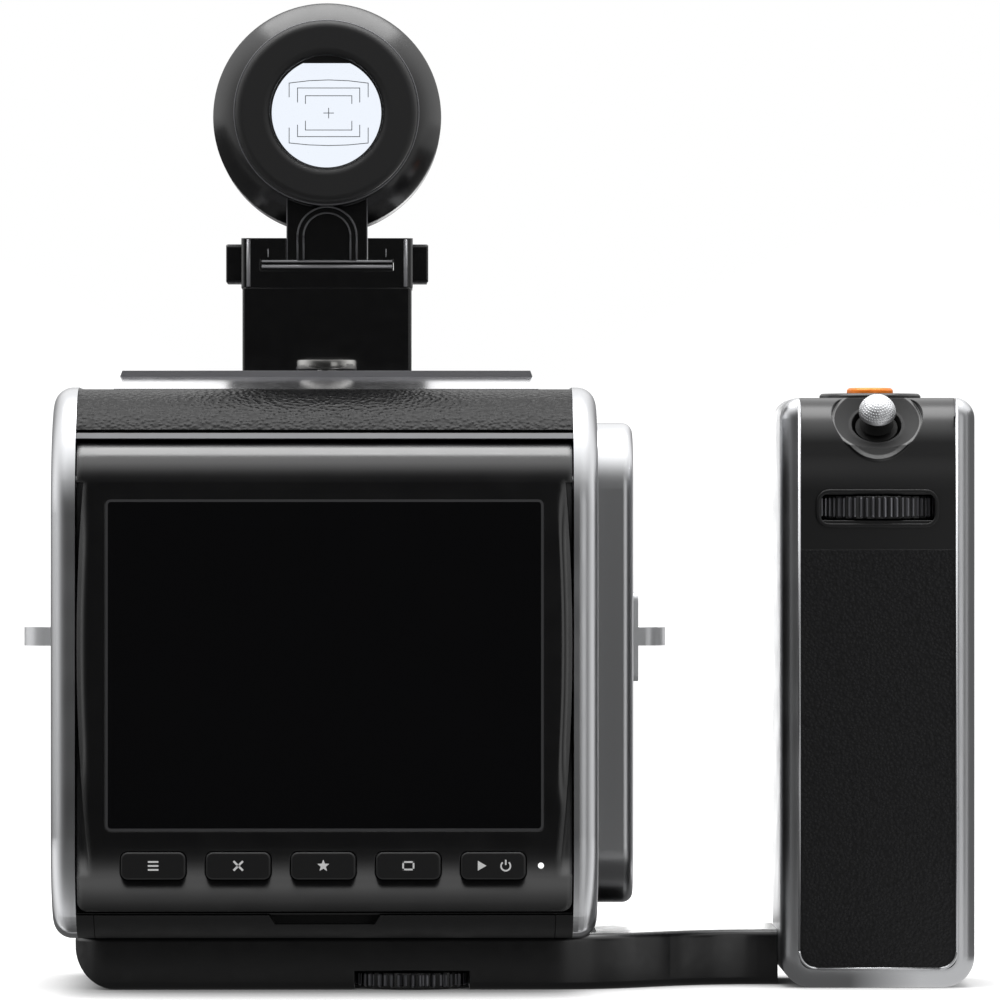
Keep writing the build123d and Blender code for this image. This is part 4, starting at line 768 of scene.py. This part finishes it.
def buildJoystickBeads():
    # The dome of the joystick carries rows of small pressed beads
    side = Vector((1, 0, 0))
    up = stickAxis.cross(side)
    bm = bmesh.new()
    for row in range(beads["rows"]):
        tilt = row * beads["pitch"] / beads["dome"]
        count = max(1, round(2 * pi * sin(tilt) * beads["dome"] / beads["pitch"]))
        for step in range(count):
            around = 2 * pi * (step + 0.5 * (row % 2)) / count
            ray = stickAxis * cos(tilt) + (side * cos(around) + up * sin(around)) * sin(tilt)
            spot = Vector(beads["middle"]) + ray * (beads["dome"] - beads["sunk"])
            bmesh.ops.create_icosphere(bm, subdivisions=2, radius=beads["bead"] * mm,
                                       matrix=Matrix.Translation(spot * mm))
    finishPiece(bm, "joystick_beads", "stick", finishOf("joystick"), smooth=True)
    print("joystick beaded")


mountScrews = {
    "count": 6, "ring": 33.3, "start": 30.0,
    "y": 31.02, "head": (1.25, 1.1), "height": 0.12,
    "crossY": 31.09, "cross": (1.3, 0.24, 0.04),       # length, width and depth of the black bars, painted shade for a recess, in mm
}


def buildMountScrews():
    # Countersunk cross-head screws that hold the flange ring; each cross recess is two black bars on the head,
    # painted shade
    count, ring = mountScrews["count"], mountScrews["ring"]
    turns = [radians(mountScrews["start"]) + 2 * pi * index / count for index in range(count)]
    spots = [(ring * cos(turn), place["lensZ"] + ring * sin(turn)) for turn in turns]
    foot, top = mountScrews["head"]
    length, width, depth = mountScrews["cross"]
    heads, recessShade = bmesh.new(), bmesh.new()
    for x, z in spots:
        made = bmesh.ops.create_cone(heads, cap_ends=True, segments=24, radius1=foot * mm, radius2=top * mm,
                                     depth=mountScrews["height"] * mm)
        move(heads, made["verts"], (x, mountScrews["y"], z), standing.inverted())
        # Black bars on the head: painted shade in place of the cross recess
        for slot in (0, pi / 2):
            verts = addBar(recessShade, length, width, turn=slot, depth=depth)
            move(recessShade, verts, (x, mountScrews["crossY"], z))
    finishPiece(heads, "mount_screws", "camera", plainFinish("polishedChrome"))
    finishPiece(recessShade, "mount_screw_recess_shade", "camera", finishOf("contact_block"))
    print("mount screwed down")


def addRod(bm, start, end, radius, segments=12):
    # A round bar between two points, in millimetres
    start, end = Vector(start) * mm, Vector(end) * mm
    line = end - start
    matrix = Matrix.Translation((start + end) / 2) @ line.to_track_quat("Z", "Y").to_matrix().to_4x4()
    bmesh.ops.create_cone(bm, cap_ends=True, segments=segments, radius1=radius * mm, radius2=radius * mm,
                          depth=line.length, matrix=matrix)


def addUpright(bm, x, y, ends, radius, segments=12):
    addRod(bm, (x, y, ends[0]), (x, y, ends[1]), radius, segments)


def addHoop(bm, middle, radius, wire, start=0.0, sweep=2 * pi, steps=48):
    # A round wire bent about an axis along Y through middle, in millimetres
    made = bmesh.ops.create_circle(bm, cap_ends=False, segments=10, radius=wire * mm)
    move(bm, made["verts"], middle, Matrix.Rotation(start, 4, "Y"), Matrix.Translation((radius * mm, 0, 0)))
    edges = list({e for v in made["verts"] for e in v.link_edges})
    spinAbout(bm, edges, middle, (0, 1, 0), sweep, steps)
    bmesh.ops.holes_fill(bm, edges=[e for e in bm.edges if e.is_boundary], sides=0)


def addLine(bm, points, width, depth=0.05):
    # Flat printed strokes through points in the X-Z plane
    for (x0, z0), (x1, z1) in zip(points, points[1:]):
        length = ((x1 - x0) ** 2 + (z1 - z0) ** 2) ** 0.5
        addBar(bm, length + width, width, (x0 + x1) / 2, (z0 + z1) / 2, atan2(z0 - z1, x1 - x0), depth)


def addRibbedDisc(bm, middle, radius, depth, ribs, height, axis="Z"):
    # A wheel's rim with square ribs and broken edges, in millimetres
    made = bmesh.ops.create_circle(bm, cap_ends=True, segments=4 * ribs, radius=radius * mm)
    for index, vert in enumerate(made["verts"]):
        if index % 4 > 1:
            vert.co *= (radius - depth) / radius
    chamfer = min(wheelChamfer, height / 6)
    faces = list(made["verts"][0].link_faces)
    verts = list(made["verts"])
    move(bm, verts, (0, 0, -height / 2))
    bmesh.ops.scale(bm, vec=(1 - depth / radius, 1 - depth / radius, 1), verts=verts)
    grow = radius / (radius - depth)
    for rise, size in ((chamfer, grow), (height - 2 * chamfer, 1.0), (chamfer, 1 / grow)):
        moved, faces = pushFaces(bm, faces, (0, 0, rise))
        bmesh.ops.scale(bm, vec=(size, size, 1), verts=moved)
        verts += moved
    move(bm, verts, middle, *[standing] * (axis == "Y"))


finderLines = {
    "plateRear": 12.45,
    "middle": (0.25, 150.05),
    "width": 0.13,
    # half width, top at the ends and in the middle, where the top legs end, and the same below, in mm
    "frames": ((6.86, 5.2, 5.75, 2.8, -5.2, -5.65, -2.6),
               (5.4, 4.35, 4.35, 1.9, -4.1, -4.1, -2.1),
               (4.03, 3.0, 3.0, 1.65, -2.95, -2.95, -1.4)),
    "cross": 0.85,
    "bow": 0.75,               # how much of the rise is reached halfway
}


def buildFinderLines():
    bm = bmesh.new()
    wide = finderLines["width"]
    for half, topEnd, top, topLeg, lowEnd, low, lowLeg in finderLines["frames"]:
        for end, crown, leg in ((topEnd, top, topLeg), (lowEnd, low, lowLeg)):
            bow = end + (crown - end) * finderLines["bow"]
            addLine(bm, [(-half, leg), (-half, end), (-half / 2, bow), (0, crown), (half / 2, bow), (half, end),
                         (half, leg)], wide)
    reach = finderLines["cross"]
    addLine(bm, [(-reach, 0), (reach, 0)], wide)
    addLine(bm, [(0, -reach), (0, reach)], wide)
    x, z = finderLines["middle"]
    move(bm, bm.verts, (x, finderLines["plateRear"], z))
    finishPiece(bm, "finder_frame_lines", "camera", plainFinish("etchedLine"))
    print("finder lines drawn")


finderHighlightLines = {
    # painted highlight lines on edges that stand on both sides: half spacing, Y, low and high end, wire, segments, in
    # mm
    "stem": ((5.1, 7.5, (124.4, 128.5), 0.17, 12), (4.05, 7.5, (124.4, 128.5), 0.17, 12),
             (6.9, 8.0, (124.4, 135.1), 0.12, 12)),
    "arches": 2,               # how many of the first of these are joined above by an arch
    "clamp": ((13.6, 8.1, (119.8, 128.0), 0.36, 20), (10.2, 8.0, (124.9, 126.3), 0.1, 12)),
    # painted highlight lines on edges across the shoe: Y, height, half length, wire
    "shoe": ((8.0, 124.2, 11.3, 0.2), (8.0, 123.3, 11.3, 0.3)),
    "seat": (-6.3, 15.75, 0.2),
}


def addPairs(bm, rows):
    for half, y, ends, wire, segments in rows:
        for x in (-half, half):
            addUpright(bm, x, y, ends, wire, segments)


def buildFinderHighlightLines():
    # Light grey rods along the edges of the finder's foot and round the eyecup's seat: painted highlights for the
    # light those edges catch
    dull = plainFinish("paintedDullLine")
    bm = bmesh.new()
    for half, y, ends, wire, segments in finderHighlightLines["stem"][:finderHighlightLines["arches"]]:
        addHoop(bm, (0, y, ends[1]), half, wire, 0.0, -pi, 32)
    addPairs(bm, finderHighlightLines["stem"])
    finishPiece(bm, "finder_stem_highlight_lines", "camera", dull, smooth=True)
    bm = bmesh.new()
    addPairs(bm, finderHighlightLines["clamp"])
    for y, z, half, wire in finderHighlightLines["shoe"]:
        addRod(bm, (-half, y, z), (half, y, z), wire, 16)
    finishPiece(bm, "finder_clamp_highlight_lines", "camera", plainFinish("paintedBrightLine"), smooth=True)
    y, radius, wire = finderHighlightLines["seat"]
    bm = bmesh.new()
    addHoop(bm, (0, y, place["finderZ"]), radius, wire, steps=96)
    finishPiece(bm, "eyecup_highlight_ring", "camera", dull, smooth=True)
    print("finder foot trimmed")


gripBead = {"left": 80.35, "right": 107.15, "low": 3.25, "high": 99.0, "corner": 3.0, "y": -22.0, "wire": 0.3}


def buildGripBead():
    # The inner edge of the grip's band is a turned-in bead that catches a thin bright line
    left, right, low, high, corner, y, wire = gripBead.values()
    bm = bmesh.new()
    addUpright(bm, left, y, (low + corner, high), wire)
    addUpright(bm, right, y, (low + corner, high), wire)
    addRod(bm, (left + corner, y, low), (right - corner, y, low), wire)
    addHoop(bm, (left + corner, y, low + corner), corner, wire, pi / 2, pi / 2, 10)
    addHoop(bm, (right - corner, y, low + corner), corner, wire, 0.0, pi / 2, 10)
    finishPiece(bm, "grip_frame_bead", "camera", finishOf("grip_frame"), smooth=True)
    print("grip bead laid")


wheels = (
    # name, body, middle mm, radius, rib depth, ribs, height, axis
    ("rear_wheel_rim", "grip_rear_wheel", (93.75, -12.1, 81.6), 11.05, 0.55, 66, 3.7, "Z"),
    ("front_wheel_rim", "grip_front_wheel", (93.75, 10.1, 87.4), 9.05, 0.55, 54, 3.7, "Z"),
    ("thumbwheel_rim", "thumbwheel", (14.6, -18.0, 1.6), 9.55, 0.5, 48, 2.5, "Z"),
    ("front_dial_rim", "front_dial", (43.4, 30.9, 24.2), 6.95, 0.35, 48, 1.9, "Y"),
)
wheelChamfer = 0.35
dialHole = 5.25


def openDial(bm, middle, height):
    # The dial is a ring round the release button
    bmesh.ops.delete(bm, geom=[f for f in bm.faces if len(f.verts) > 8], context="FACES_ONLY")
    rims = [e for e in bm.edges if e.is_boundary]
    for side in (-1, 1):
        y = (middle[1] + side * height / 2) * mm
        loop = [e for e in rims if abs(e.verts[0].co.y - y) < 0.01 * mm]
        grown = bmesh.ops.extrude_edge_only(bm, edges=loop)
        for vert in (g for g in grown["geom"] if isinstance(g, bmesh.types.BMVert)):
            centre = Vector((middle[0] * mm, vert.co.y, middle[2] * mm))
            vert.co = centre + (vert.co - centre).normalized() * dialHole * mm
    bmesh.ops.bridge_loops(bm, edges=[e for e in bm.edges if e.is_boundary])


def buildWheelRims():
    ribbed = plainFinish("ribbedWheel")
    for name, body, middle, radius, depth, ribs, height, axis in wheels:
        bm = bmesh.new()
        addRibbedDisc(bm, middle, radius, depth, ribs, height, axis)
        if name == "front_dial_rim":
            openDial(bm, middle, height)
        finishPiece(bm, name, body, ribbed)
    print("wheels ribbed")


stickBoot = {"ends": (-2.4, 0.1), "radii": (2.9, 1.5), "folds": 6, "fold": 0.35, "back": 0.2}


def buildStickBoot():
    # A folded rubber boot keeps dust out of the joystick's hole
    middle = Vector(beads["middle"]) - stickAxis * stickBoot["back"]
    bm = bmesh.new()
    (low, high), (foot, top), steps = stickBoot["ends"], stickBoot["radii"], stickBoot["folds"]
    for step in range(steps):
        along = low + (high - low) * (step + 0.5) / steps
        wide = foot + (top - foot) * step / (steps - 1)
        made = bmesh.ops.create_cone(bm, cap_ends=True, segments=32, radius1=wide * mm,
                                     radius2=(wide - stickBoot["fold"]) * mm, depth=(high - low) / steps * mm)
        move(bm, made["verts"], middle + stickAxis * along, stickAxis.to_track_quat("Z", "Y").to_matrix().to_4x4())
    finishPiece(bm, "joystick_boot", "stick", finishOf("joystick_gimbal"))
    print("joystick boot fitted")


contacts = {"count": 8, "pitch": 1.9, "radius": 0.45, "squash": 0.7, "y": 26.5, "z": 24.85}


def buildContacts():
    # Sprung gold-plated pins that meet the lens
    bm = bmesh.new()
    for index in range(contacts["count"]):
        x = (index - (contacts["count"] - 1) / 2) * contacts["pitch"]
        made = bmesh.ops.create_uvsphere(bm, u_segments=16, v_segments=8, radius=contacts["radius"] * mm)
        move(bm, made["verts"], (x, contacts["y"], contacts["z"]), Matrix.Diagonal((1, contacts["squash"], 1, 1)))
    finishPiece(bm, "lens_contacts", "camera", plainFinish("goldPlate"), smooth=True)
    print("contacts seated")


finderBarrel = {
    # half of the tube's section: radius and place along Y, in mm
    "section": ((15.5, -6.6), (15.65, -6.45), (15.65, 7.9), (15.9, 8.0), (19.55, 11.6), (19.8, 12.1),
                (19.8, 24.2), (19.6, 24.4), (19.6, 25.0), (19.8, 25.2), (19.8, 28.3), (18.65, 34.5),
                (18.3, 34.9), (17.9, 35.0), (16.4, 35.0), (16.2, 34.8), (16.2, 28.3), (12.6, 24.3),
                (12.6, -5.0), (15.5, -5.0)),
    "steps": 128,
}


def buildFinderBarrel():
    # A closed section turned about the finder's own axis
    bm = bmesh.new()
    verts = [bm.verts.new(Vector((radius, y, place["finderZ"])) * mm) for radius, y in finderBarrel["section"]]
    turnSection(bm, verts, True, (0, 0, place["finderZ"]), (0, 1, 0), finderBarrel["steps"])
    piece = finishPiece(bm, "finder_tube", "camera", finishOf("finder_barrel"))
    smoothByAngle(piece, 25)
    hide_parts("finder_barrel")
    print("finder tube turned")


gripBand = {
    "left": 77.2, "right": 110.3, "wide": 3.2, "rear": -22.2, "front": 10.8, "low": 0.0, "high": 100.28,
    "roll": 2.9, "corner": 5.3, "shoulder": 3.6, "steps": 12,
}


def buildGripBand():
    # The grip's U-shaped band, its outer edges rolled over almost the whole width of the rim
    left, right, wide, rear, front, low, high, roll, corner, shoulder, steps = gripBand.values()
    bm = bmesh.new()
    addSheet(bm, (wide, front - rear), (left + wide / 2, (front + rear) / 2, high - shoulder))
    outer = [v for v in bm.verts if v.co.x < (left + 0.1) * mm]
    bmesh.ops.bevel(bm, geom=outer, offset=roll * mm, affect="VERTICES", segments=8, profile=0.5, material=-1)
    # shoulder of the left leg, spun up from the top of the leg
    faces = list(bm.faces)
    copy = bmesh.ops.duplicate(bm, geom=faces)
    top = [g for g in copy["geom"] if isinstance(g, bmesh.types.BMFace)]
    turn = acos((shoulder - wide) / shoulder)
    spinAbout(bm, top, (left + shoulder, 0, high - shoulder), (0, 1, 0), turn, steps)
    # down the left leg, round the bottom and up the right leg
    faces = pushFaces(bm, faces, (0, 0, low + corner - (high - shoulder)))[1]
    faces = spinAbout(bm, faces, (left + corner, 0, low + corner), (0, 1, 0), -pi / 2, steps)
    faces = pushFaces(bm, faces, (right - left - 2 * corner, 0, 0))[1]
    faces = spinAbout(bm, faces, (right - corner, 0, low + corner), (0, 1, 0), -pi / 2, steps)
    faces = pushFaces(bm, faces, (0, 0, high - shoulder - low - corner))[1]
    spinAbout(bm, faces, (right - shoulder, 0, high - shoulder), (0, 1, 0), -turn, steps)
    piece = finishPiece(bm, "grip_band", "camera", finishOf("grip_frame"))
    smoothByAngle(piece, 30)
    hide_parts("grip_frame")
    print("grip band bent")


catchHead = {
    "y": -4.0,
    # half of the button's section: radius and height, in mm
    "section": ((0.0, 102.65), (1.7, 102.65), (1.7, 105.2), (5.0, 105.2), (5.2, 105.3), (5.27, 105.5),
                (5.27, 106.6), (5.2, 106.85), (4.9, 107.05), (3.6, 107.3), (0.0, 107.38)),
    "steps": 64,
}


def buildCatchHead():
    # The catch is a turned button on a stem
    bm = bmesh.new()
    verts = [bm.verts.new(Vector((radius, catchHead["y"], z)) * mm) for radius, z in catchHead["section"]]
    turnSection(bm, verts, False, (0, catchHead["y"], 0), (0, 0, 1), catchHead["steps"])
    piece = finishPiece(bm, "catch_button", "catch", finishOf("back_catch"))
    smoothByAngle(piece, 40)
    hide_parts("back_catch")
    print("catch turned")


# middle, size, corner, band and height, in mm
slotBezel = ((93.65, -22.2, 81.425), (20.9, 6.45), 2.3, 0.65, 0.14)


def buildSlotBezel():
    # A thin rounded lip round the slot of the rear wheel
    bm = bmesh.new()
    addRoundedRing(bm, *slotBezel)
    finishPiece(bm, "rear_wheel_lip", "camera", finishOf("grip_head"))
    print("wheel slot lipped")


buildStudio()
dressFrame()
buildIcons()
buildFinderLines()
buildGlassRim()
buildJoystickBeads()
buildMountScrews()
buildFinderHighlightLines()
buildGripBead()
buildWheelRims()
buildStickBoot()
buildContacts()
buildFinderBarrel()
buildGripBand()
buildCatchHead()
buildSlotBezel()
